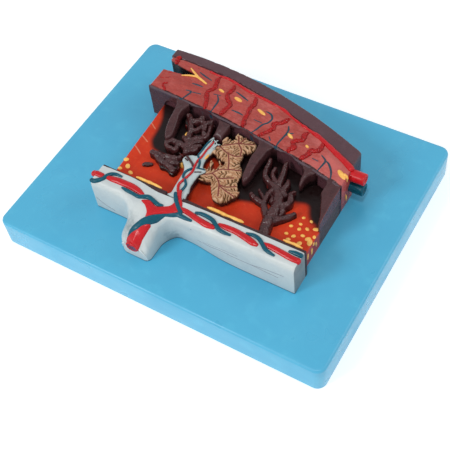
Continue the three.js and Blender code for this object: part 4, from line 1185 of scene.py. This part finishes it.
tree = {
    "rim": [(-57.5, 3), (-54, 6), (-51, 7), (-48.5, 6.5), (-43, 7.5), (-41.5, 9), (-42, 11.5), (-43.5, 13.5),
            (-46, 22), (-47.5, 24), (-52.5, 25.5), (-54, 28), (-54, 32.5), (-51.5, 34.5), (-50, 34),
            (-47, 31.5), (-46, 32.5), (-43, 33), (-40.5, 36.5), (-36.5, 37.5), (-29.5, 36), (-28, 34.5),
            (-29, 27.5), (-28.5, 24.5), (-26, 23.5), (-23, 25.5), (-23, 22), (-23.5, 19.5), (-26, 19),
            (-27, 16.5), (-26, 13.5), (-25, 5), (-26.5, 3), (-28.5, 2.5), (-30, 1), (-29.5, -1.5),
            (-30.5, -3), (-33, -3), (-35.5, -4), (-40.5, -2), (-43, -2.5), (-46.5, -5), (-49.5, -5),
            (-53, -3)],
    "holes": [[(-41, 23), (-39.5, 25.5), (-37, 27.5), (-34.5, 29.5), (-33.5, 27), (-33, 24), (-34, 24),
               (-37.5, 24.5), (-39, 23)],
              [(-37.5, 12.5), (-39, 16), (-39, 19), (-37.5, 20.5), (-35, 20.5), (-34.5, 19.5), (-36.5, 17.5),
               (-36.5, 14.5), (-36, 12)],
              [(-41.5, 0.5), (-41, 3), (-39.5, 2), (-38, -1), (-39.5, -1)]],
    "branches": [([(-35, 0), (-38, 7), (-41, 14), (-43.5, 21), (-46.5, 26.5), (-49.5, 31), (-51.5, 33)], 2.3),
                 ([(-48.5, 29.5), (-43.5, 30), (-41, 33.5), (-39.5, 35.5)], 1.9),
                 ([(-40.5, 33), (-35, 31), (-32.5, 25), (-29.5, 19.5)], 1.9),
                 ([(-34.5, 30), (-32.5, 33), (-31, 35)], 1.7),
                 ([(-28.5, 20), (-27.5, 22), (-29, 31.5)], 1.6),
                 ([(-43, 22), (-39.5, 22.5), (-37, 25.5), (-36, 28)], 1.7),
                 ([(-37.5, 7.5), (-37, 11.5), (-34.5, 15.5), (-31.5, 18), (-28, 20)], 1.9),
                 ([(-36.5, 2), (-34.5, 8), (-33, 12), (-28.5, 15)], 1.8),
                 ([(-35, 1), (-31.5, 6), (-27.5, 9.5)], 1.8),
                 ([(-34.5, -1.5), (-31, 2), (-28, 5)], 1.7),
                 ([(-37, 3), (-43, 5), (-47, 5), (-50.5, 5), (-53.5, 3.5), (-54.5, 1.5)], 2.1),
                 ([(-47, 5), (-44.5, 1.5), (-44, -2), (-48, -2.5), (-51.5, -2), (-54, 0)], 1.9),
                 ([(-41.5, 10), (-43.5, 11.5), (-44.5, 12.5)], 1.8)],
    "web": 3.0,
    "height": 8.0,
    "rise": 0.18,
    "seed": 81,
}
clump = {
    "rim": [(-58, -9), (-52, -9), (-48.5, -8), (-41.5, -4), (-38.5, -4), (-35, -6), (-33, -13.5),
            (-31.5, -15.5), (-31.5, -19), (-33, -24), (-36.5, -24), (-40, -22), (-43, -21.5), (-45.5, -22),
            (-49, -20.5), (-52, -17), (-56.5, -14.5), (-62.5, -13), (-63, -11.5)],
    "holes": [],
    "branches": [([(-60.5, -12), (-56, -12.5), (-52.5, -14.5), (-49, -16.5), (-44, -17), (-38.5, -18.5),
                   (-34.5, -20.5)], 2.5),
                 ([(-54, -11), (-49, -11.5), (-43.5, -10), (-39, -9), (-37, -7)], 2.3),
                 ([(-44, -14), (-40, -13.5), (-35.5, -13)], 2.2)],
    "web": 3.4,
    "height": 6.4,
    "rise": 0.0,
    "seed": 91,
}
fragment = {
    "rim": [(-63, -25), (-62.5, -22), (-60, -20.5), (-56, -19.5), (-54.5, -21), (-56.5, -23.5), (-60, -25)],
    "holes": [],
    "branches": [],
    "web": 2.0,
    "height": 2.2,
    "rise": 0.0,
    "seed": 101,
}


def strokes(routes):
    # signed distance and height of round-backed strokes together, crown = axis + sqrt(radius^2 - off^2);
    # a route is (x, y, height of its axis above the floor, radius)
    lines = [smoothLine(route, 10 * len(route)) for route in routes]

    def both(x, y):
        field, top = np.full(x.shape, 1e9), np.full(x.shape, -1e9)
        for line in lines:
            off, run, _ = nearest(line, x, y)
            up, r = (np.interp(run, runAlong(line), line[:, k]) for k in (2, 3))
            field = np.minimum(field, off - r)
            crown = up + np.sqrt(np.maximum(r ** 2 - off ** 2, 0))
            top = np.maximum(top, np.where(off < r, crown, -1e9))
        return field, np.maximum(top, 0.4)
    return both


def beforeWall(field, x, y):
    # cuts a villus off just in front of the wall
    return np.maximum(field, y - basalFrontY(x) + 0.4)


def lobedPiece(name, node, lobed):
    # round-backed branches, joined inside the outline by a low web painted dark as shade, with holes right
    # through
    base, seed = pierced(lobed["rim"], lobed["holes"]), lobed["seed"]
    both = strokes([[(x, y, lobed["height"] - r, 1.15 * r) for x, y in route]
                    for route, r in lobed["branches"]])

    def field(x, y):
        rough = 0.3 * lumps(x, y, 2.6, seed) + 0.15 * lumps(x, y, 1.2, seed + 1)
        return beforeWall(np.minimum(base(x, y), both(x, y)[0]) + rough, x, y)

    def topAt(x, y, depth):
        knobs = 0.8 * lumps(x, y, 3.2, seed + 2) + 0.5 * lumps(x, y, 1.4, seed + 3)
        rise = np.maximum(both(x, y)[1] + knobs, lobed["web"] + 0.5 * knobs)
        return floorTop + rounded(rise + lobed["rise"] * np.maximum(y - 20, 0), 0.8, depth)

    surface = relief(field, around(lobed["rim"], 1), 0.4, topAt, floorTop - 0.3)
    x, y, z = surface[0].T
    share = (z - floorTop) / lobed["height"]
    # painted shade: dark red in low patches, the red floor as it looks in shade between the branches
    shadedFloorRed = ease(0.1, 0.6, lumps(x, y, 3.2, seed + 4)) * ease(0.75, 0.5, share) * 0.6
    makePiece(name, surface, "villus", node, sharp=75,
              paint={"deepPaint": ease(0.74, 0.45, share), "glowPaint": shadedFloorRed})


lobedPiece("leftVillusTree", "left_villus_tree", tree)
lobedPiece("villusClump", "villus_clump", clump)
lobedPiece("villusFragment", "villus_fragment", fragment)

anchoring = [
    [(60, -47, 2.6, 4.7), (60.5, -40, 3, 4.6), (59, -33, 3.2, 4.9), (58, -27.5, 3.6, 4.8)],
    [(58, -27.5, 3.6, 4.6), (58.5, -23, 4, 5.1), (58.5, -17.5, 4.4, 4.6), (57, -10, 4.8, 4.4),
     (53.5, -3.5, 5, 4.1), (49, 1, 5.2, 3.4)],
    [(56, -27, 3, 3.4), (51, -21.5, 3.2, 3), (47.5, -17, 3.3, 2.8), (44, -16, 3.2, 2.5),
     (40, -15, 3, 2.4), (36, -13.5, 2.8, 2.2), (33.5, -12, 2.6, 2)],
    [(47, -16, 3.2, 2.4), (46, -10.5, 3.6, 2.2), (46.5, -5, 4.2, 2.4), (48.5, -0.5, 5, 2.8)],
    [(46.5, -13.5, 3.2, 1.7), (43, -10, 3.2, 1.6), (39.5, -7.5, 3.2, 1.3), (37, -5.5, 3, 1.1)],
    [(49.5, 1, 5, 3.2), (44, 2.5, 5.4, 2.6), (39, 4.5, 6, 2.4), (35.5, 7.5, 6.6, 2.3), (34, 12, 7.4, 2.1),
     (33.5, 17, 8.4, 1.8), (33, 21.5, 9.4, 1.6)],
    [(48.5, 4, 5.4, 2.4), (44, 7, 6, 2.1), (40.5, 10.5, 6.6, 1.8), (40, 16.5, 7.4, 1.5)],
    [(50.5, 1.5, 5.2, 2.9), (49, 8.5, 6.2, 2.7), (48, 15, 7.4, 2.4), (47, 20, 8.6, 2.1),
     (46.5, 24, 9.6, 1.7)],
    [(57.5, -10, 4.8, 3.2), (56, -3, 5, 3), (55.5, 3.5, 5.6, 2.7), (56, 7.5, 6, 2.2), (55, 10, 6, 1.8)],
    [(59, -13.5, 4.6, 3.4), (63, -11.5, 4.6, 2.9), (65.5, -8, 4.8, 2.8), (64.5, -3.5, 5, 2.7),
     (62.5, 0.5, 5, 2.2), (64, 3.5, 5, 1.6)],
    [(59, -16.5, 4.2, 2.9), (64, -16, 4, 2.4), (64.5, -19, 3.4, 2)],
    [(50, -1, 4.8, 3.7), (55, -1.5, 4.8, 3.7), (58.5, -2.5, 4.6, 2.7)],
    [(60, -29, 3, 3.4), (64, -25.5, 3.1, 2.9), (68, -21.5, 3.2, 2.4), (71.5, -17, 3.2, 2.3),
     (73, -14.5, 3, 2.2)],
    [(61.5, -20, 0.8, 4.2), (62.5, -10, 0.8, 3.4)],
    [(52.5, -9.5, 1.4, 4.2), (52.5, -2, 1.5, 4.4)],
]
anchoringBoth = strokes(anchoring)


def anchoringField(x, y):
    # the strokes' own outline, roughened
    rough = 0.25 * lumps(x, y, 2.4, 111) + 0.125 * lumps(x, y, 1.1, 112)
    return beforeWall(anchoringBoth(x, y)[0] + rough, x, y)


def anchoringTopAt(x, y, depth):
    # the strokes' backs with knobs, rolled off at the rim
    rise = anchoringBoth(x, y)[1] + 0.45 * lumps(x, y, 2.2, 113) + 0.25 * lumps(x, y, 1.0, 114)
    return rounded(floorTop + np.maximum(rise, 0.6), 0.6, depth)


anchoringSurface = relief(anchoringField, ((32, 78), (-47, 27)), 0.45, anchoringTopAt, floorTop - 0.3)
x, y, z = anchoringSurface[0].T
# painted shade: the villus darkens in its low parts near the floor
low = ease(4.0, 1.0, z - floorTop)
makePiece("anchoringVillus", anchoringSurface, "villus", "anchoring_villus", sharp=75,
          # dark red low patches are painted shade of the red floor between the branches
          paint={"deepPaint": low * 0.8, "glowPaint": ease(0.35, 0.75, lumps(x, y, 3.4, 115)) * low})
print("villi made")


# Vessels in the cut muscle: points are (x, share of the way from the muscle's front edge to its back)

spiral = {
    "routes": [[(-40.5, .01), (-44, .23), (-48, .42), (-45, .61), (-47, .78), (-47, .9)],
               [(-25, .02), (-24, .24), (-23, .37), (-28, .48), (-31, .59), (-30, .77), (-31, .89)],
               [(-1, .02), (-4, .2), (-5, .41), (-6, .56), (-5, .72), (-8, .88)],
               [(15, .02), (19, .22), (22, .41), (20, .51), (25, .65), (29, .86)],
               [(45, .02), (44, .13), (47, .24), (43, .37), (49, .58), (48, .73), (50, .86)],
               [(56, .02), (58, .16), (60, .31), (60, .45), (65, .57), (66, .76), (65, .9)]],
    "radius": 1.6,
    "swell": 0.8,
    "sway": 1.5,
    "turnLength": 3.1,
    "squash": 0.75,
}
for k, route in enumerate(spiral["routes"]):
    line = smoothLine(onMuscle(route), 150)
    run = runAlong(line)
    across = np.gradient(line, axis=0)[:, ::-1] * [-1, 1]
    across /= np.linalg.norm(across, axis=1, keepdims=True)
    phase = 2 * math.pi * run / spiral["turnLength"] + k + 1.2 * lumps(run, 0, 5, 121 + k)
    end = np.minimum(ease(0, 3, run), ease(run[-1], run[-1] - 3, run))
    line = line + across * (spiral["sway"] * np.sin(phase) * end)[:, None]
    swell = 0.85 + spiral["swell"] * np.cos(2 * phase) * 0.5 + 0.25 * lumps(run, 0, 2.2, 131 + k)
    size = np.maximum(spiral["radius"] * swell * (0.6 + 0.4 * end), 0.5)
    surface = tube(laidOnMuscle(line, 0.1), size, 12, squash=spiral["squash"], smooth=False)
    x, y, z = surface[0].T
    # painted shade: each spiral darkens down its sides to the muscle
    makePiece("spiralArtery%d" % (k + 1), surface, "spiral", "spiral_artery_%d" % (k + 1), sharp=60,
              paint={"sidePaint": ease(0.5, 0.15, z - muscleTopAt(x, y))})

marginal = [(-58, .95), (-50, .94), (-40, .965), (-28, .95), (-15, .915), (0, .955), (10, .97), (20, .99),
            (30, .95), (40, .94), (50, .95), (60, .975), (70, .955), (80, .93), (90, .92), (96.6, .88)]
line = smoothLine(onMuscle(marginal), 260)
size = 1.15 + 0.4 * lumps(line[:, 0], line[:, 1], 4, 141) + 1.7 * ease(30, 96, line[:, 0])
surface = tube(laidOnMuscle(line, -0.1 * size), size, 14, squash=0.85, smooth=False)
makePiece("marginalArtery", surface, "artery", "marginal_artery", sharp=60)


def stubShape(y, z, radius, length):
    # bar with a rolled end and a shallow lumen: a profile of (length, radius) turned round a line along X
    lip = 0.9
    a = np.linspace(0, math.pi / 2, 6)
    profile = [(share * (length - lip), radius * size) for share, size in ((0.0, 0.98), (0.35, 1), (0.8, 0.99))]
    profile += [(length - lip + lip * math.sin(t), radius - lip + lip * math.cos(t)) for t in a]
    profile += [(length - 0.15, radius * 0.62), (length - 0.9, radius * 0.5), (length - 1.4, radius * 0.3)]
    p = np.array(profile)
    turn = np.arange(28) * 2 * math.pi / 28
    wave = 1 + 0.015 * np.sin(3 * turn)
    rings = np.stack([cutFaceX + p[:, :1] + 0 * turn, y + p[:, 1:] * np.cos(turn) * wave,
                      z + p[:, 1:] * np.sin(turn) * wave], 2)
    return closedRings(rings, *rings[[0, -1]].mean(1))


stubs = {
    "artery": {"z": 28.0, "radius": 5.0, "length": 12.5},
    "vein": {"z": 15.0, "radius": 5.5, "length": 12.0},
}
for kind, stub in stubs.items():
    surface = stubShape(muscleBackY(cutFaceX) - 3.2, stub["z"], stub["radius"], stub["length"])
    makePiece("uterine%sStub" % kind.title(), surface, kind, "uterine_%s_stub" % kind)

strokeRoutes = {
    "teal": [[(-64, -.02), (-62, .12), (-61, .25), (-66, .24)], [(-61, .25), (-52, .3)],
             [(-34, .02), (-34, .16), (-34.5, .33), (-38, .45)], [(-36, .48), (-42, .44)],
             [(8, .01), (10, .15), (12, .33), (15, .45), (16, .6), (13, .69), (8, .69)],
             [(3, .34), (10.4, .36)],
             [(33, -.01), (33, .15), (34, .4), (34, .57), (32, .68)], [(34.4, .4), (36, .5), (39, .58)],
             [(74, .01), (75, .28), (75, .47), (70, .54)], [(75, .47), (79, .44), (84, .26), (87, -.01)],
             [(-66, .82), (-60, .78), (-52, .74)], [(-65, .47), (-60, .485), (-55, .49)],
             [(-26, .76), (-18, .72), (-12, .69)], [(-19, .28), (-13, .3), (-8, .3)], [(23, .14), (26, .06)],
             [(65, .27), (70, .3)]],
    "red": [([(-83, .01), (-84, .07), (-88, .14), (-86, .22)], 1.1),
            ([(-90.5, .84), (-93, .97), (-92, 1.02)], 2.0)],
    "nicks": [[(-89, 65), (-91, 62)], [(-90, 57), (-85, 60)], [(-95, 55), (-91, 56)]],
}
teal = []
for route in strokeRoutes["teal"]:
    size = np.array([0.5] + [0.85] * (len(route) - 2) + [0.5])
    fine = smoothLine(np.column_stack([onMuscle(route), size]), 8 * len(route))
    teal.append(tube(laidOnMuscle(fine, -0.05), fine[:, 2], 10, squash=0.55, smooth=False))
makePiece("muscleVeinStrokes", joined(teal), "tealStroke", sharp=60)

red = []
for route, size in strokeRoutes["red"]:
    fine = smoothLine(np.column_stack([onMuscle(route), np.full(len(route), size)]), 40)
    x, y = fine[:, 0].copy(), fine[:, 1].copy()
    fine[:, :2] += 0.5 * np.stack([lumps(y, x, 2, 151), lumps(x, y, 2, 152)], 1)
    size = fine[:, 2] * (1 + 0.25 * lumps(fine[:, 1], fine[:, 0], 1.6, 153))
    red.append(tube(laidOnMuscle(fine), size, 12, squash=0.6, smooth=False))
for nick in strokeRoutes["nicks"]:
    a, b = np.array(nick, float)
    line = np.stack([a, a + (b - a) * 0.5 + [0.2, 0.1], b])
    red.append(tube(laidOnMuscle(line), [0.4, 0.5, 0.3], 8, squash=0.5))
makePiece("muscleRedMarks", joined(red), "spiral", sharp=60)
print("muscle vessels made")


# Yellow glands, fibrin strips and drops

glands = {
    "each": [(-38, .61, 6.5, 2.6, -14), (-20, .6, 8.5, 3.6, -12), (4.5, .61, 10, 3, -20), (38, .47, 7, 3, -28),
             (55.5, .49, 4, 2.4, -28), (92.5, .42, 11, 4.4, -36)],  # x, share, length, width, turn
    "height": 1.35,
    "overEdge": [(94.6, 28.8, wallTop - 0.2), (96.6, 28.2, wallTop - 0.3), (97.6, 27.7, wallTop - 1.6),
                 (97.7, 27.2, 29)],
    "downEdge": [(97.6, 26.4, 12.6), (97.7, 26.6, 9), (97.6, 27.2, 5)],
}
for k, (x, share, length, width, turn) in enumerate(glands["each"]):
    x, y, z = laidOnMuscle(onMuscle([(x, share)]), -0.25)[0]
    gland = dome(x, y, z, length, width, turn, glands["height"])
    if k == 5:  # the last one's paint has run over the cut edge
        gland = joined([gland, tube(glands["overEdge"], [1.3, 1.2, 0.9, 0.5], 10),
                        tube(glands["downEdge"], [0.6, 0.9, 0.5], 10)])
    makePiece("muscleGland%d" % (k + 1), gland, "yellow", "muscle_gland_%d" % (k + 1), sharp=50)

fork = {
    "spot": (-65.4, 71.2),
    "arms": [([(-10, 4.4), (-6, 2), (0, -1.4)], [0.6, 0.9, 1.1]),
             ([(-13, -6), (-7, -3.6), (0, -2)], [0.6, 0.9, 1.1]),
             ([(-1, -1.7), (5, -3.4), (11.5, -5.6)], [1.2, 1.1, 0.8])],
}
arms = [tube(laidOnMuscle(np.array(arm) + fork["spot"], 0.15), size, 12, squash=0.8)
        for arm, size in fork["arms"]]
makePiece("forkedGland", joined(arms), "yellow", "forked_gland", sharp=60)

deposits = {
    "each": [(-52, -28, 161), (14.5, 46.5, 171), (81.4, 97, 181)],  # left, right, seed
    "y": -45.6,
    "z": 32.2,
    "radius": 1.25,
}
for k, (left, right, seed) in enumerate(deposits["each"]):
    xs = np.linspace(left, right, 14)
    taper = 0.5 + 0.5 * np.minimum(ease(left, left + 3, xs), ease(right, right - 3, xs))
    size = (deposits["radius"] + 0.35 * lumps(xs, 0, 3, seed + 1)) * taper
    path = np.column_stack([xs, deposits["y"] + 0.2 * lumps(xs, 0, 5, seed),
                            deposits["z"] + 0.3 * lumps(xs, 0, 6, seed + 2)])
    makePiece("fibrinDeposit%d" % (k + 1), tube(path, size, 12), "yellow", "fibrin_deposit_%d" % (k + 1),
              sharp=60)

drops = {
    "floor": [(-78.8, -25.4, 4.8, 4, 20), (-73.6, -30.8, 5.4, 4, -50), (-78.2, -35.5, 3.8, 3.2, 0),
              (-67.7, -35.5, 4.8, 3.4, -20), (80.2, -11.9, 3.2, 2.6, 30), (87.2, -12.5, 3.4, 2.6, -30),
              (80.9, -18.3, 3.2, 2.6, 0), (87.6, -20.1, 3.8, 2.8, -20), (94, -17.4, 6, 3.6, 20),
              (75.1, -23.1, 3.4, 2.8, 20), (82.1, -22.9, 3.4, 3, 60), (87.4, -27.2, 3.8, 2.8, 10),
              (92.4, -28.2, 5, 3.8, 40), (95, -30.4, 4, 6.4, 10), (75.1, -30.9, 3.4, 2.8, 0),
              (81.3, -30.7, 3.8, 3, 40), (78.9, -35.2, 4, 3, 20), (88.3, -34.8, 4.8, 3.8, 60),
              (95.8, -24.4, 2.8, 3.4, 20), (84, -40, 4.2, 3, 20)],  # x, y, length, width, turn
    "end": [(-24.6, 10, 2.6, 7, 10), (-28.6, 15.2, 3, 4.6, 20), (-31.8, 9.4, 3, 9, 0),
            (-38.2, 10.6, 2.6, 8, -5), (-41.8, 9.2, 2.6, 8.6, 0)],  # y, z, length, width, turn
    "knob": {"x": -32.6, "y": -10.6, "length": 5, "width": 4.6, "turn": 0, "height": 4.2},
    "plate": [(-44.4, 17.6, 24.7), (-44.2, 15.4, 24.9), (-44, 13.4, 24.7)],
    "stem": [(-14.9, -1.7), (-14.7, 1), (-14.7, 3.7)],
}
onFloor = floorTop - 0.1
yellow = [dome(x, y, onFloor, a, b, turn, 0.8, sides=14) for x, y, a, b, turn in drops["floor"]]
yellow += [dome(cutFaceX - 0.1, y, z, a, b, turn, 0.6, True, 14) for y, z, a, b, turn in drops["end"]]
stemSpot = np.array(drops["stem"])
yellow += [dome(z=onFloor, **drops["knob"]), tube(drops["plate"], [0.7, 0.9, 0.6], 10),
           tube(np.column_stack([stemSpot, stemTopAt(*stemSpot.T) - 0.7]), [0.7, 1.0, 0.6], 10)]
makePiece("floorDrops", joined(yellow), "yellow", sharp=50)
print("yellow pieces made")


# Camera, lights and floor

view = {
    "spot": (0.2814005, -0.3731823, 0.5904961),  # metres, above the board's top
    "azimuth": 37.6276,
    "elevation": 54.1573,
    "tilt": -8.638,
    "lens": 72.56,
    "sensor": 36.0,
}
camera = bpy.data.cameras.new("photoCamera")
camera.lens, camera.sensor_width = view["lens"], view["sensor"]
cameraObject = placed("photoCamera", camera)
bpy.context.scene.camera = cameraObject
azimuth, elevation, tilt = (math.radians(view[a]) for a in ("azimuth", "elevation", "tilt"))
away = np.array([math.sin(azimuth) * math.cos(elevation), -math.cos(azimuth) * math.cos(elevation),
                 math.sin(elevation)])
level = np.array([math.cos(azimuth), math.sin(azimuth), 0])
upright = np.cross(away, level)
right = level * math.cos(tilt) + upright * math.sin(tilt)
up = upright * math.cos(tilt) - level * math.sin(tilt)
rows = [(*row, 0) for row in np.stack([right, up, away])] + [(*(view["spot"] + np.array([0, 0, boardTop])), 1)]
cameraObject.matrix_world = Matrix(rows).transposed()
print("camera placed")

lights = {
    "window": {"size": 0.7, "power": 16.8, "from": (-0.8, -1.45, 1.35)},
    "ceiling": {"size": 0.16, "power": 5.4, "from": (0.22, -0.4, 1.55)},
    "fill": {"size": 1.4, "power": 8.5, "from": (1.3, 0.9, 1.3)},
}
for name, light in lights.items():
    lamp = bpy.data.lights.new(name, "AREA")
    lamp.shape, lamp.size, lamp.energy = "DISK", light["size"], light["power"]
    lampObject = placed(name, lamp)
    lampObject.location = light["from"]
    lampObject.rotation_mode = "QUATERNION"
    lampObject.rotation_quaternion = lampObject.location.to_track_quat("Z", "Y")

world = bpy.data.worlds.new("paleRoom")
bpy.context.scene.world = world
world.use_nodes = True
background = world.node_tree.nodes["Background"]
background.inputs["Color"].default_value = (0.95, 0.97, 1, 1)
rays = addNode(world, "ShaderNodeLightPath").outputs
seen = maths(world, "MAXIMUM", rays["Is Camera Ray"], rays["Is Glossy Ray"])
brightness = addNode(world, "ShaderNodeMapRange", **{"To Min": 0.42, "To Max": 1.0})
wire(world, seen, brightness.inputs["Value"])
wire(world, brightness.outputs[0], background.inputs["Strength"])

ground = bpy.data.meshes.new("paleTable")
ground.from_pydata([(-4, -4, -0.0002), (4, -4, -0.0002), (4, 4, -0.0002), (-4, 4, -0.0002)], [], [(0, 1, 2, 3)])
groundObject = placed("paleTable", ground)
groundObject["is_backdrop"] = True
groundPaint = bpy.data.materials.new("paleTablePaint")
groundPaint.use_nodes = True
groundShader = groundPaint.node_tree.nodes["Principled BSDF"]
for socket, value in (("Base Color", (0.9, 0.9, 0.9, 1)), ("Roughness", 0.7), ("Emission Color", (1, 1, 1, 1)),
                      ("Emission Strength", 0.35)):
    groundShader.inputs[socket].default_value = value
ground.materials.append(groundPaint)

bpy.context.scene.view_settings.view_transform = "Standard"

low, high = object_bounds()
print("size", [round((b - a) / mm, 1) for a, b in zip(low, high)])
